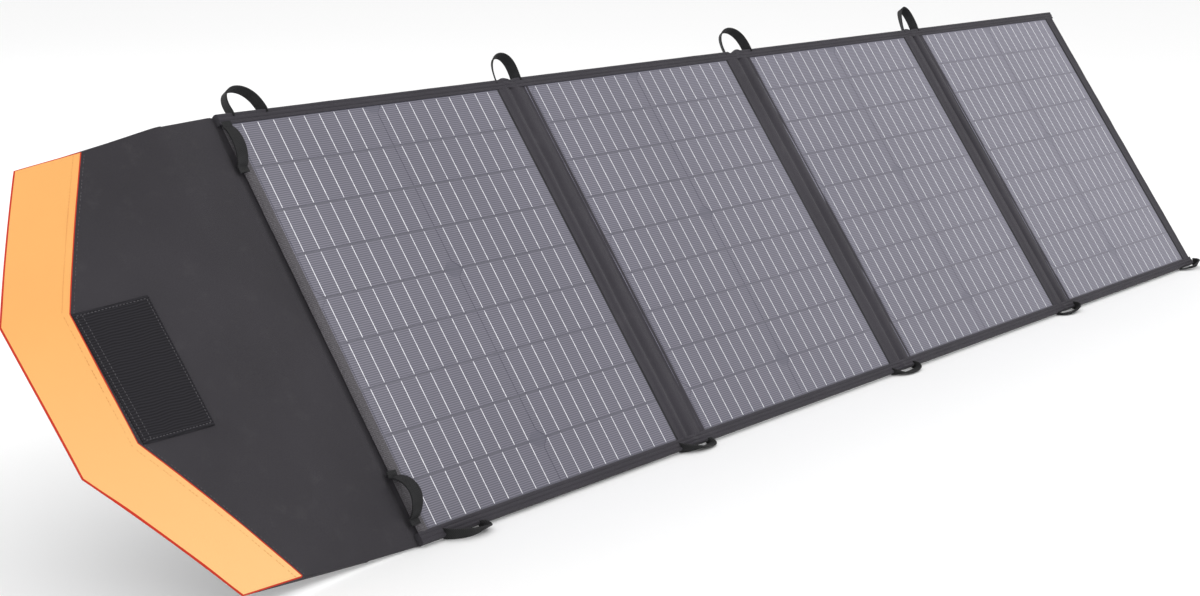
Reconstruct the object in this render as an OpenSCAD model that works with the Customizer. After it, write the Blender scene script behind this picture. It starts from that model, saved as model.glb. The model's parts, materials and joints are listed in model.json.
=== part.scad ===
// Folding fabric solar panel set: four framed panels that fold like an
// accordion, a closing flap on the left, and two kickstand legs behind.
// Panel coordinates: x along the row of panels, y up a panel, z out of its front.

/* [Panels] */
// Width of the visible window of one panel
win_w = 348; // [344:1:420]
// Height of the visible window of one panel
win_h = 391; // [389:1:450]
// Fabric between two windows
win_gap = 45; // [40:1:60]
// Fabric border above, below and left of the windows
edge_w = 11; // [9:0.5:20]
// Fabric border right of the last window
free_edge_w = 23; // [12:1:40]
// Lean of the standing panels above the floor, in degrees
tilt = 55; // [45:1:60]

/* [Panel layers] */
// Thickness of one layer of cover fabric
fabric_t = 0.8; // [0.6:0.1:1.2]
// Thickness of the stiffening board
board_t = 4; // [2:0.5:5]
// Thickness of the cell laminate
laminate_t = 1.2; // [0.8:0.1:2]
// Thickness of a cell above the laminate
cell_t = 0.25; // [0.2:0.05:0.4]
// Width of the fabric hem outside the board
hem_w = 5; // [3:0.5:8]
// Overlap of the front fabric on the laminate
overlap_w = 3; // [2:0.5:6]

/* [Cells] */
// Width of one cell
cell_w = 166; // [160:1:166]
// Height of one quarter-cut cell
cell_h = 41.5; // [36:0.5:41.5]
// Gap between the two columns of cells
column_gap = 6.5; // [3:0.5:10]
// Cell rows on a panel
rows = 9; // [6:1:9]
// Chamfer at the corners of the uncut wafer
wafer_chamfer = 8; // [4:1:12]

/* [Flap] */
// Length of the flap from the seam to its tip
flap_len = 276; // [240:1:300]
// Distance from the seam to where the corners are cut off
flap_straight = 197; // [150:1:210]
// Height of the flap
flap_h = 404; // [380:1:405]
// Height of the flap's tip
flap_tip_h = 138; // [100:1:200]
// Soft part of the flap next to the seam
gusset_w = 60; // [50:1:70]
// Width of the light band at the tip
band_w = 60; // [40:1:70]
// Distance from the seam to the start of the band
band_start = 134; // [110:1:150]
// Height of the band's inner end
band_inner_h = 124; // [100:1:150]
// How far the flap hangs back, in degrees
flap_droop = 2; // [0:0.5:2]
// Width of the hook patch on the flap
patch_w = 72; // [50:1:80]
// Height of the hook patch on the flap
patch_h = 122; // [80:1:140]

/* [Legs] */
// Length of a leg from its hinge to its foot
leg_len = 300; // [290:5:310]
// Width of a leg at its hinge
leg_w = 140; // [100:5:150]
// Width of a leg at its foot
leg_foot_w = 110; // [80:5:130]
// Thickness of a leg
leg_t = 3; // [2:0.5:3]
// Height of the leg hinge on the panel
leg_hinge_h = 330; // [320:5:340]
// Distance from a panel's left window edge to its leg's centre
leg_inset = 119; // [100:1:130]
// Height where the stay strap meets the panel
stay_panel_h = 90; // [60:5:120]
// Distance from the leg hinge to the stay strap
stay_leg_d = 240; // [200:5:250]
// Width of the stay strap
stay_w = 20; // [15:1:30]

/* [Loops] */
// Distance between the feet of a loop
loop_w = 46; // [40:1:50]
// Height of a standing loop
loop_h = 28; // [26:1:40]
// Width of the webbing
webbing_w = 15; // [10:1:16]
// Thickness of the webbing
webbing_t = 1.6; // [1:0.1:2]
// Height of a loop over the flap seam
seam_loop_h = 14; // [10:1:20]

/* [Pocket and controller] */
// Width of the pocket
pocket_w = 130; // [100:1:135]
// Height of the pocket
pocket_h = 140; // [100:1:150]
// Depth of the pocket
pocket_d = 18; // [12:1:25]
// Width of the controller box
box_w = 110; // [90:1:120]
// Height of the controller box
box_h = 72; // [60:1:80]
// Depth of the controller box
box_d = 20; // [18:1:30]
// Wall of the controller box
box_wall = 2; // [1.5:0.5:3]
// Bore radius of the output socket
socket_r = 4; // [3:0.5:5]
// Bore depth of the output socket
socket_len = 12; // [10:1:15]
// Radius of the controller button
button_r = 5; // [4:0.5:6]

/* [Hidden] */
$fn = 48;

// Panel layout
pitch = win_w + win_gap;
panel_h = win_h + 2 * edge_w;
mid_h = panel_h / 2;
last_end = edge_w + 3 * pitch + win_w + free_edge_w;
z_board = fabric_t;
z_laminate = z_board + board_t;
z_cells = z_laminate + laminate_t;
panel_t = z_cells + 1;
rib_t = 0.3;
rib_w = 3;
rib_margin = 1;
strip_z = 3;
strip_t = 1.6;
joint_gap = 0.5;
over = 1;

// Cell layout
row_pitch = win_h / rows;
cell_left = (win_w - 2 * cell_w - column_gap) / 3;

// Flap layout
axis_x = -26;
flap_board_t = 1.4;
flap_t = 2 * fabric_t + flap_board_t;
pipe_r = 1.2;
board_inset = 6;
gusset_z = 0.6;
patch_t = 1;
mate_margin = 6;
packed_sum = 2 * (hinge_x(1) - hinge_x(2) + hinge_x(3));
mate_x = packed_sum - 2 * axis_x - flap_len + band_w - mate_margin;

// Leg layout: the angle puts the foot on the floor
leg_axis_z = -3;
foot_r = 2.5;
foot_rise = leg_hinge_h * sin(tilt) + leg_axis_z * cos(tilt) - foot_r;
leg_angle = 90 - tilt + acos(foot_rise / leg_len);
tape_h = 30;
hem_r = 1.5;
stay_t = 1.2;
stay_start_z = -1;

// Loop layout
first_loop_top = 36;
first_loop_low = 50;
second_loop_shift = -4;
fourth_loop_shift = 5;
last_loop_inset = 8;
loop_centres_top = [
    first_loop_top, hinge_x(1) + second_loop_shift, hinge_x(2), hinge_x(3) + fourth_loop_shift
];
loop_centres_low = [
    first_loop_low, hinge_x(1), hinge_x(2), hinge_x(3) + fourth_loop_shift, last_end - last_loop_inset
];
loop_z = panel_t / 2;
flat_loop_len = 28;
flat_loop_t = 2;
flat_webbing_w = 9;
seam_loop_w = 44;
seam_loop_above = 173;
seam_loop_below = 164;
seam_loops_y = [mid_h + seam_loop_above, mid_h - seam_loop_below];

// Pocket and controller layout
back_inset = 75;
back_x = edge_w + win_w - back_inset;
pocket_y = 120;
pocket_corner_r = 10;
zip_w = 110;
zip_h = 12;
zip_t = 1;
zip_rise = 40;
slider_w = 9;
slider_h = 8;
slider_t = 3;
tab_w = 5;
tab_len = 22;
tab_t = 1.2;
box_y = 255;
box_right = back_x + box_w / 2;
box_corner_r = 6;
lid_t = 2;
socket_out_r = socket_r + 2;
socket_y = box_y + 14;
usb_y = box_y - 14;
usb_w = 15;
usb_h = 7;
usb_hole_w = 12.5;
usb_hole_h = 5;
usb_depth = 12;
end_wall = 2;
fit_gap = 0.3;
button_x = back_x + 20;
button_travel = 1.5;

// Origin: middle of the whole model's box, on the floor
x_min = -gusset_w - (flap_len - gusset_w) * cos(flap_droop) - flap_t * sin(flap_droop);
x_max = last_end - last_loop_inset + loop_w / 2;
y_min = -panel_t * sin(tilt) - flat_loop_len;
foot_y = leg_hinge_h * cos(tilt) - leg_axis_z * sin(tilt) + leg_len * sin(leg_angle - 90 + tilt);
y_max = foot_y + foot_r;
origin_x = (x_min + x_max) / 2;
origin_y = (y_min + y_max) / 2;

// Distance along the row of the fold line between panel k and the next one
function hinge_x(k) = edge_w + k * pitch - win_gap / 2;
// Left edge of the window of panel k
function win_x(k) = edge_w + (k - 1) * pitch;
// Right border of panel k
function right_edge(k) = k == 4 ? free_edge_w : edge_w;

// Puts panel coordinates in the standing position
module stand() {
    translate([-origin_x, -origin_y, 0]) rotate([tilt, 0, 0]) children();
}

// Block with its lower corner at a point
module block(corner, size) {
    translate(corner) cube(size);
}

// ---- Panels ----

// Outline of panel k inset by m, between two levels
module panel_block(k, m, z0, z1) {
    left = win_x(k) - edge_w + m;
    right = win_x(k) + win_w + right_edge(k) - m;
    block([left, m, z0], [right - left, panel_h - 2 * m, z1 - z0]);
}

// Block around the window of panel k, grown by m
module window_block(k, m, z0, z1) {
    block([win_x(k) - m, edge_w - m, z0], [win_w + 2 * m, win_h + 2 * m, z1 - z0]);
}

// Back fabric
module cover(k) {
    color([0.22, 0.21, 0.23]) stand() panel_block(k, 0, 0, fabric_t);
}

// Stiffening board
module board(k) {
    color([0.1, 0.1, 0.1]) stand() panel_block(k, hem_w, z_board, z_laminate);
}

// Laminate below the cells
module laminate(k) {
    color([0.3, 0.3, 0.35]) stand() window_block(k, overlap_w, z_laminate, z_cells);
}

// One quarter-cut cell with chamfers at its top or its bottom corners
module cell(top_cut, low_cut) {
    t = top_cut ? wafer_chamfer : 0;
    b = low_cut ? wafer_chamfer : 0;
    linear_extrude(cell_t) polygon([
        [b, 0], [cell_w - b, 0], [cell_w, b], [cell_w, cell_h - t],
        [cell_w - t, cell_h], [t, cell_h], [0, cell_h - t], [0, b]
    ]);
}

// Two columns of cells
module cells(k) {
    color([0.36, 0.36, 0.44]) stand()
        for (column = [0, 1], row = [0 : rows - 1])
            translate([
                win_x(k) + cell_left + column * (cell_w + column_gap),
                edge_w + win_h - (row + 1) * row_pitch + (row_pitch - cell_h) / 2,
                z_cells
            ])
                cell(row % 4 == 0, row % 4 == 3);
}

// Front fabric frame, hemmed around the board, with ribs along top and bottom
module frame(k) {
    left = win_x(k) - edge_w;
    length = win_w + edge_w + right_edge(k);
    color([0.27, 0.26, 0.28]) stand() {
        difference() {
            panel_block(k, 0, fabric_t, panel_t - rib_t);
            panel_block(k, hem_w, fabric_t - over, z_laminate);
            window_block(k, overlap_w, z_laminate - over, z_cells);
            window_block(k, 0, z_cells - over, panel_t + over);
        }
        inner = edge_w - rib_w - rib_margin;
        for (y = [rib_margin, inner, panel_h - inner - rib_w, panel_h - rib_margin - rib_w])
            block([left, y, panel_t - rib_t], [length, rib_w, rib_t]);
    }
}

// Soft strip across the fold line after panel k
module hinge_strip(k) {
    half = win_gap / 2 - edge_w;
    color([0.24, 0.23, 0.26]) stand()
        block([hinge_x(k) - half, 0, strip_z], [2 * half - joint_gap, panel_h, strip_t]);
}

// ---- Loops ----

// Arch of webbing with its feet on the x axis
module arch(w, h) {
    linear_extrude(webbing_w) difference() {
        union() {
            translate([0, h - w / 2]) circle(r = w / 2);
            translate([-w / 2, 0]) square([w, h - w / 2]);
        }
        translate([0, h - w / 2]) circle(r = w / 2 - webbing_t);
        translate([webbing_t - w / 2, -w]) square([w - 2 * webbing_t, w + h - w / 2]);
        translate([-w, -2 * w]) square([2 * w, 2 * w]);
    }
}

// Loop standing on the top edge
module loop_top(i) {
    color([0.1, 0.1, 0.1]) stand()
        translate([loop_centres_top[i - 1], panel_h + joint_gap, loop_z - webbing_w / 2])
            arch(loop_w, loop_h);
}

// Loop pressed flat on the floor in front of the bottom edge
module loop_low(i) {
    outer_r = loop_w / 2;
    straight = flat_loop_len - outer_r;
    y0 = -panel_t * sin(tilt);
    color([0.08, 0.08, 0.08]) translate([loop_centres_low[i - 1] - origin_x, y0 - origin_y, 0])
        linear_extrude(flat_loop_t) difference() {
            union() {
                translate([0, -straight]) circle(r = outer_r);
                translate([-outer_r, -straight]) square([loop_w, straight]);
            }
            translate([0, -straight]) circle(r = outer_r - flat_webbing_w);
            translate([flat_webbing_w - outer_r, -straight])
                square([loop_w - 2 * flat_webbing_w, straight + outer_r]);
            translate([-loop_w, 0]) square([2 * loop_w, loop_w]);
        }
}

// Low arched loop over the flap seam
module loop_seam(i) {
    color([0.12, 0.12, 0.12]) stand()
        translate([-webbing_w / 2, seam_loops_y[i - 1], panel_t])
            rotate([0, 0, 90]) rotate([90, 0, 0]) arch_low(seam_loop_w, seam_loop_h);
}

// Shallow arch: the part of a ring above its chord
module arch_low(w, h) {
    r = (w * w / 4 + h * h) / (2 * h);
    linear_extrude(webbing_w) difference() {
        translate([0, h - r]) circle(r = r);
        translate([0, h - r]) circle(r = r - webbing_t);
        translate([-r, -2 * r]) square([2 * r, 2 * r]);
    }
}

// ---- Flap ----

// Puts flap coordinates in place: x grows towards the tip, turned by the droop
module hang() {
    stand() translate([-gusset_w, 0, 0]) rotate([0, -flap_droop, 0])
        translate([gusset_w, 0, 0]) mirror([1, 0, 0]) children();
}

// Outline of the flap beyond distance x0, inset by m
module flap_outline(x0, m) {
    cut = m / 2;
    half = flap_h / 2 - m;
    tip = flap_tip_h / 2 - cut;
    translate([0, mid_h]) polygon([
        [x0, -half], [flap_straight - cut, -half], [flap_len - m, -tip],
        [flap_len - m, tip], [flap_straight - cut, half], [x0, half]
    ]);
}

// Outline inside the light band
module band_inner_outline() {
    half = flap_h / 2;
    translate([0, mid_h]) polygon([
        [0, -half], [band_start, -half], [flap_len - band_w, -band_inner_h / 2],
        [flap_len - band_w, band_inner_h / 2], [band_start, half], [0, half]
    ]);
}

module flap_back() {
    color([0.2, 0.2, 0.21]) hang() linear_extrude(fabric_t) flap_outline(gusset_w, 2 * pipe_r);
}

module flap_board() {
    color([0.1, 0.1, 0.1]) hang() translate([0, 0, fabric_t])
        linear_extrude(flap_board_t) flap_outline(gusset_w + board_inset, board_inset);
}

module flap_front() {
    color([0.25, 0.24, 0.26]) hang() translate([0, 0, fabric_t + flap_board_t])
        linear_extrude(fabric_t) intersection() {
            flap_outline(gusset_w, 2 * pipe_r);
            band_inner_outline();
        }
}

module flap_band() {
    color([0.98, 0.72, 0.48]) hang() translate([0, 0, fabric_t + flap_board_t])
        linear_extrude(fabric_t) difference() {
            flap_outline(gusset_w, 2 * pipe_r);
            band_inner_outline();
        }
}

// Piping along the flap's free edges
module flap_piping() {
    color([0.85, 0.3, 0.2]) hang() translate([0, 0, flap_t / 2 - pipe_r])
        linear_extrude(2 * pipe_r) difference() {
            flap_outline(gusset_w, 0);
            flap_outline(gusset_w - 1, 2 * pipe_r);
        }
}

module flap_patch() {
    color([0.07, 0.07, 0.08]) hang()
        block([flap_len - band_w - patch_w, mid_h - patch_h / 2, flap_t], [patch_w, patch_h, patch_t]);
}

// Soft fabric between the seam and the flap's stiff part
module gusset() {
    color([0.25, 0.24, 0.26]) stand()
        block([joint_gap - gusset_w, mid_h - flap_h / 2, gusset_z],
            [gusset_w - joint_gap, flap_h, strip_t]);
}

// Loop patch on the last panel's back, where the folded flap lands
module patch_mate() {
    color([0.07, 0.07, 0.08]) stand()
        block([mate_x, mid_h - patch_h / 2 - mate_margin, -patch_t],
            [patch_w + 2 * mate_margin, patch_h + 2 * mate_margin, patch_t]);
}

// ---- Legs ----

function leg_x(k) = win_x(k) + leg_inset;

// Puts leg coordinates in place: y runs from the hinge to the foot
module swing(k) {
    stand() translate([leg_x(k), leg_hinge_h, leg_axis_z]) rotate([leg_angle, 0, 0])
        mirror([0, 1, 0]) children();
}

module leg(k) {
    color([0.2, 0.2, 0.21]) swing(k) {
        translate([0, 0, -leg_t / 2]) linear_extrude(leg_t) polygon([
            [-leg_w / 2, 0], [leg_w / 2, 0],
            [leg_foot_w / 2, leg_len - foot_r], [-leg_foot_w / 2, leg_len - foot_r]
        ]);
        translate([-leg_w / 2, 0, 0]) rotate([0, 90, 0]) cylinder(r = hem_r, h = leg_w);
    }
}

// Fabric strip that holds the leg to the panel's back
module leg_tape(k) {
    color([0.15, 0.15, 0.16]) stand()
        block([leg_x(k) - leg_w / 2, leg_hinge_h, -fabric_t], [leg_w, tape_h, fabric_t]);
}

// Round rubber edge that stands on the floor
module leg_foot(k) {
    color([0.06, 0.06, 0.06]) swing(k) difference() {
        translate([-leg_foot_w / 2, leg_len, 0]) rotate([0, 90, 0]) cylinder(r = foot_r, h = leg_foot_w);
        translate([-leg_foot_w, leg_len - 2 * foot_r, -leg_t])
            cube([2 * leg_foot_w, foot_r, 2 * leg_t]);
    }
}

// Strap that stops the leg, from the panel's back to the leg
module stay(k) {
    start = [stay_panel_h, stay_start_z];
    finish = [
        leg_hinge_h - stay_leg_d * cos(leg_angle) - leg_t * sin(leg_angle),
        leg_axis_z - stay_leg_d * sin(leg_angle) + leg_t * cos(leg_angle)
    ];
    run = finish - start;
    color([0.1, 0.1, 0.1]) stand() translate([leg_x(k) - stay_w / 2, start[0], start[1]])
        rotate([atan2(run[1], run[0]), 0, 0]) translate([0, 0, -stay_t / 2])
            cube([stay_w, norm(run), stay_t]);
}

// ---- Pocket and controller on the first panel's back ----

// Block with rounded upright edges, growing out of the back
module back_block(x, y, w, h, d, r) {
    translate([x, y, -d]) linear_extrude(d) {
        square([w, h - 2 * r], center = true);
        square([w - 2 * r, h], center = true);
        for (sx = [-1, 1], sy = [-1, 1])
            translate([sx * (w / 2 - r), sy * (h / 2 - r)]) circle(r = r);
    }
}

module pocket() {
    color([0.2, 0.2, 0.21]) stand()
        back_block(back_x, pocket_y, pocket_w, pocket_h, pocket_d, pocket_corner_r);
}

module zip_tape() {
    color([0.06, 0.06, 0.06]) stand()
        block([back_x - zip_w / 2, pocket_y + zip_rise, -pocket_d - zip_t], [zip_w, zip_h, zip_t]);
}

// Slider with its pull tab
module zip_slider() {
    left = back_x - zip_w / 2;
    low = pocket_y + zip_rise + (zip_h - slider_h) / 2;
    z_top = -pocket_d - zip_t - joint_gap;
    color([0.5, 0.5, 0.52]) stand() {
        block([left, low, z_top - slider_t], [slider_w, slider_h, slider_t]);
        block([left + (slider_w - tab_w) / 2, low - tab_len, z_top - slider_t / 2],
            [tab_w, tab_len, tab_t]);
    }
}

module box_base() {
    inner_w = box_w - 2 * box_wall;
    inner_h = box_h - 2 * box_wall;
    wall_x = box_right - box_wall - over;
    wall_cut = box_wall + 2 * over;
    color([0.08, 0.08, 0.09]) stand() difference() {
        back_block(back_x, box_y, box_w, box_h, box_d, box_corner_r);
        translate([0, 0, -box_wall])
            back_block(back_x, box_y, inner_w, inner_h, box_d, box_corner_r - box_wall);
        translate([wall_x, socket_y, -box_d / 2]) rotate([0, 90, 0])
            cylinder(r = socket_out_r, h = wall_cut);
        block([wall_x, usb_y - usb_w / 2, -(box_d + usb_h) / 2], [wall_cut, usb_w, usb_h]);
    }
}

module box_lid() {
    color([0.1, 0.1, 0.11]) stand() difference() {
        translate([0, 0, -box_d]) back_block(back_x, box_y, box_w, box_h, lid_t, box_corner_r);
        translate([button_x, box_y, -box_d - lid_t - over])
            cylinder(r = button_r + fit_gap, h = lid_t + 2 * over);
    }
}

// Round output socket, its mouth at the right face of the box
module socket() {
    color([0.04, 0.04, 0.04]) stand()
        translate([box_right, socket_y, -box_d / 2]) rotate([0, -90, 0]) difference() {
            cylinder(r = socket_out_r, h = socket_len + end_wall);
            translate([0, 0, -over]) cylinder(r = socket_r, h = socket_len + over);
        }
}

// Rectangular charging port beside the socket
module usb_port() {
    color([0.6, 0.6, 0.62]) stand() difference() {
        block([box_right - usb_depth - end_wall, usb_y - usb_w / 2, -(box_d + usb_h) / 2],
            [usb_depth + end_wall, usb_w, usb_h]);
        block([box_right - usb_depth, usb_y - usb_hole_w / 2, -(box_d + usb_hole_h) / 2],
            [usb_depth + over, usb_hole_w, usb_hole_h]);
    }
}

// Push button in the lid
module button() {
    color([0.4, 0.4, 0.42]) stand()
        translate([button_x, box_y, -box_d - lid_t - button_travel])
            cylinder(r = button_r, h = lid_t + button_travel);
}

cover(1);  // cover_1
cover(2);  // cover_2
cover(3);  // cover_3
cover(4);  // cover_4
board(1);  // board_1
board(2);  // board_2
board(3);  // board_3
board(4);  // board_4
laminate(1);  // laminate_1
laminate(2);  // laminate_2
laminate(3);  // laminate_3
laminate(4);  // laminate_4
cells(1);  // cells_1
cells(2);  // cells_2
cells(3);  // cells_3
cells(4);  // cells_4
frame(1);  // frame_1
frame(2);  // frame_2
frame(3);  // frame_3
frame(4);  // frame_4
hinge_strip(1);  // hinge_12
hinge_strip(2);  // hinge_23
hinge_strip(3);  // hinge_34
gusset();
loop_top(1);  // loop_top_1
loop_top(2);  // loop_top_2
loop_top(3);  // loop_top_3
loop_top(4);  // loop_top_4
loop_low(1);  // loop_low_1
loop_low(2);  // loop_low_2
loop_low(3);  // loop_low_3
loop_low(4);  // loop_low_4
loop_low(5);  // loop_low_5
loop_seam(1);  // loop_seam_top
loop_seam(2);  // loop_seam_low
flap_back();
flap_board();
flap_front();
flap_band();
flap_piping();
flap_patch();
patch_mate();
leg(1);  // leg_1
leg(4);  // leg_4
leg_tape(1);  // leg_tape_1
leg_tape(4);  // leg_tape_4
leg_foot(1);  // leg_foot_1
leg_foot(4);  // leg_foot_4
stay(1);  // stay_1
stay(4);  // stay_4
pocket();
zip_tape();
zip_slider();
box_base();
box_lid();
socket();
usb_port();
button();
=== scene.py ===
"""Looks of the folding fabric solar kit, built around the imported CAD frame.

Panel coordinates, in millimetres: u along the row of panels from the flap seam,
v up a panel from its bottom edge, n out of the panel's front from its back.
"""
import json
import math

import bpy
from mathutils import Matrix, Vector, noise


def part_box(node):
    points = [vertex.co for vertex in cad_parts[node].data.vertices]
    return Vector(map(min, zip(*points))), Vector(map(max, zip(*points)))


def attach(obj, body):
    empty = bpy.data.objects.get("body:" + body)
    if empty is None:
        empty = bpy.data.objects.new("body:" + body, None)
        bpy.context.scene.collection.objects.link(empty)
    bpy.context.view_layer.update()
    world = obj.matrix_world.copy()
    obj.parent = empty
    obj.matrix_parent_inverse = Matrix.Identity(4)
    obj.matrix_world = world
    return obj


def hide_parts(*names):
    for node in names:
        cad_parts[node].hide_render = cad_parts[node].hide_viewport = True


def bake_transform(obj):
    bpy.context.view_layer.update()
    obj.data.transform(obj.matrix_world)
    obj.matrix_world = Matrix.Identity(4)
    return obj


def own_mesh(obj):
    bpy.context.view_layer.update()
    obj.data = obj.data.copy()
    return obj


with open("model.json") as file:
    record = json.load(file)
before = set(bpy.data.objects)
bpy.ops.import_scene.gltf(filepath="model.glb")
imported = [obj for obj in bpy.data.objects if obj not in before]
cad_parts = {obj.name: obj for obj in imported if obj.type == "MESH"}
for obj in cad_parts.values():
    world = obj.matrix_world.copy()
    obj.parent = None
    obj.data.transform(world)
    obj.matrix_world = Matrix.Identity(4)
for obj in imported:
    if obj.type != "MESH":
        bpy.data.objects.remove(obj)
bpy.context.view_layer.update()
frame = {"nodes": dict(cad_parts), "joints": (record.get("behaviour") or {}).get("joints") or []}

# ---------------------------------------------------------------- the frame

MM = 0.001


def joint(name):
    """The record's joint of that name."""
    return next(j for j in frame["joints"] if j["name"] == name)


ALONG = Vector((1, 0, 0))
UP = -Vector(joint("fold_12")["axis"]).normalized()
OUT = ALONG.cross(UP)


def node_points(name):
    """The corners of a CAD node, in the row frame."""
    return [v.co.copy() for v in frame["nodes"][name].data.vertices]


COVER_POINTS = node_points("cover_1")
ORIGIN = sum((axis * min(p.dot(axis) for p in COVER_POINTS) for axis in (ALONG, UP, OUT)), Vector())


def at(u, v, n):
    """Row frame point of panel coordinates in millimetres."""
    return ORIGIN + (ALONG * u + UP * v + OUT * n) * MM


def panel_point(p):
    """Panel coordinates of a row frame point, in millimetres."""
    return [(p - ORIGIN).dot(axis) / MM for axis in (ALONG, UP, OUT)]


def span(name):
    """Lowest and highest panel coordinates of a CAD node, in millimetres."""
    found = [panel_point(p) for p in node_points(name)]
    return [min(c) for c in zip(*found)], [max(c) for c in zip(*found)]


def halves(lo, hi):
    """Centre and half size of a box, along each axis."""
    return [(a + b) / 2 for a, b in zip(lo, hi)], [(b - a) / 2 for a, b in zip(lo, hi)]


PANELS = (1, 2, 3, 4)
# How far the front cloth covers the laminate
OVERLAP = 3.0
PANEL_LO, PANEL_HI = span("cover_1")
HEIGHT = PANEL_HI[1]
MID = HEIGHT / 2
FRONT = span("frame_1")[1][2]
CELL_TOP = span("cells_1")[1][2]
LAMINATE_TOP = span("laminate_1")[1][2]


def window(k):
    """Left, right, low and high edge of the window of panel k."""
    lo, hi = span(f"laminate_{k}")
    return lo[0] + OVERLAP, hi[0] - OVERLAP, lo[1] + OVERLAP, hi[1] - OVERLAP


WINDOWS = {k: window(k) for k in PANELS}
EDGE = WINDOWS[1][2]
ROW_END = span("cover_4")[1][0]
ROWS = 9
ROW_PITCH = (WINDOWS[1][3] - WINDOWS[1][2]) / ROWS
ROW_GAP = 2 * (span("cells_1")[0][1] - EDGE)
COLUMN_GAP = 6.5

# ---------------------------------------------------------------- node helpers


class Shader:
    """A material and short ways to add nodes to it."""

    def __init__(self, name):
        self.material = bpy.data.materials.new(name)
        self.material.use_nodes = True
        self.tree = self.material.node_tree
        self.nodes = self.tree.nodes
        self.bsdf = self.nodes["Principled BSDF"]

    def plug(self, socket, value):
        """Links an output to a socket, or sets the socket's own value."""
        if isinstance(value, bpy.types.NodeSocket):
            self.tree.links.new(value, socket)
        else:
            socket.default_value = value

    def add(self, kind, **settings):
        node = self.nodes.new(kind)
        for key, value in settings.items():
            setattr(node, key, value)
        return node

    def math(self, operation, a, b=0.0, c=0.0):
        node = self.add("ShaderNodeMath", operation=operation)
        for socket, value in zip(node.inputs, (a, b, c)):
            self.plug(socket, value)
        return node.outputs[0]

    def coordinates(self, attribute):
        """Rest coordinates in metres: a stored attribute, or the row frame turned to the panel."""
        if attribute:
            source = self.add("ShaderNodeAttribute", attribute_name=attribute).outputs["Vector"]
        else:
            mapping = self.add("ShaderNodeMapping", vector_type="POINT")
            turn = Matrix((ALONG, UP, OUT)).to_euler()
            mapping.inputs["Rotation"].default_value = turn
            shift = -(Matrix((ALONG, UP, OUT)) @ ORIGIN)
            mapping.inputs["Location"].default_value = shift
            self.plug(mapping.inputs["Vector"], self.add("ShaderNodeTexCoord").outputs["Object"])
            source = mapping.outputs[0]
        split = self.add("ShaderNodeSeparateXYZ")
        self.plug(split.inputs[0], source)
        return source, split.outputs[0], split.outputs[1]

    def noise(self, vector, scale, detail=2.0, rough=0.5):
        node = self.add("ShaderNodeTexNoise")
        self.plug(node.inputs["Vector"], vector)
        node.inputs["Scale"].default_value = scale
        node.inputs["Detail"].default_value = detail
        node.inputs["Roughness"].default_value = rough
        return node.outputs["Fac"]

    def remap(self, value, low, high, out_low, out_high):
        node = self.add("ShaderNodeMapRange", clamp=True)
        for socket, item in zip(node.inputs, (value, low, high, out_low, out_high)):
            self.plug(socket, item)
        return node.outputs[0]

    def mix(self, factor, a, b):
        node = self.add("ShaderNodeMix", data_type="RGBA")
        self.plug(node.inputs[0], factor)
        self.plug(node.inputs[6], a)
        self.plug(node.inputs[7], b)
        return node.outputs[2]

    def bump(self, height, distance, strength=1.0, normal=None):
        node = self.add("ShaderNodeBump")
        node.inputs["Strength"].default_value = strength
        node.inputs["Distance"].default_value = distance
        self.plug(node.inputs["Height"], height)
        if normal is not None:
            self.plug(node.inputs["Normal"], normal)
        return node.outputs[0]

    def set(self, **values):
        for key, value in values.items():
            self.plug(self.bsdf.inputs[key.replace("_", " ")], value)


def rgb(r, g, b):
    """Opaque linear colour."""
    return (r, g, b, 1.0)


def scaled(colour, factor):
    """Lighter or darker version of a colour."""
    return (*(min(1.0, c * factor) for c in colour[:3]), 1.0)


def stripe(shader, coordinate, pitch, phase=0.0):
    """0 to 1 wave along a coordinate."""
    angle = shader.math("MULTIPLY_ADD", coordinate, 2 * math.pi / pitch, phase)
    return shader.math("MULTIPLY_ADD", shader.math("SINE", angle), 0.5, 0.5)


def line(shader, coordinate, pitch, width):
    """1 on thin lines that repeat along a coordinate, 0 between them."""
    wrapped = shader.math("PINGPONG", coordinate, pitch / 2)
    return shader.remap(wrapped, width * 0.35, width * 0.65, 1.0, 0.0)


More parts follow.
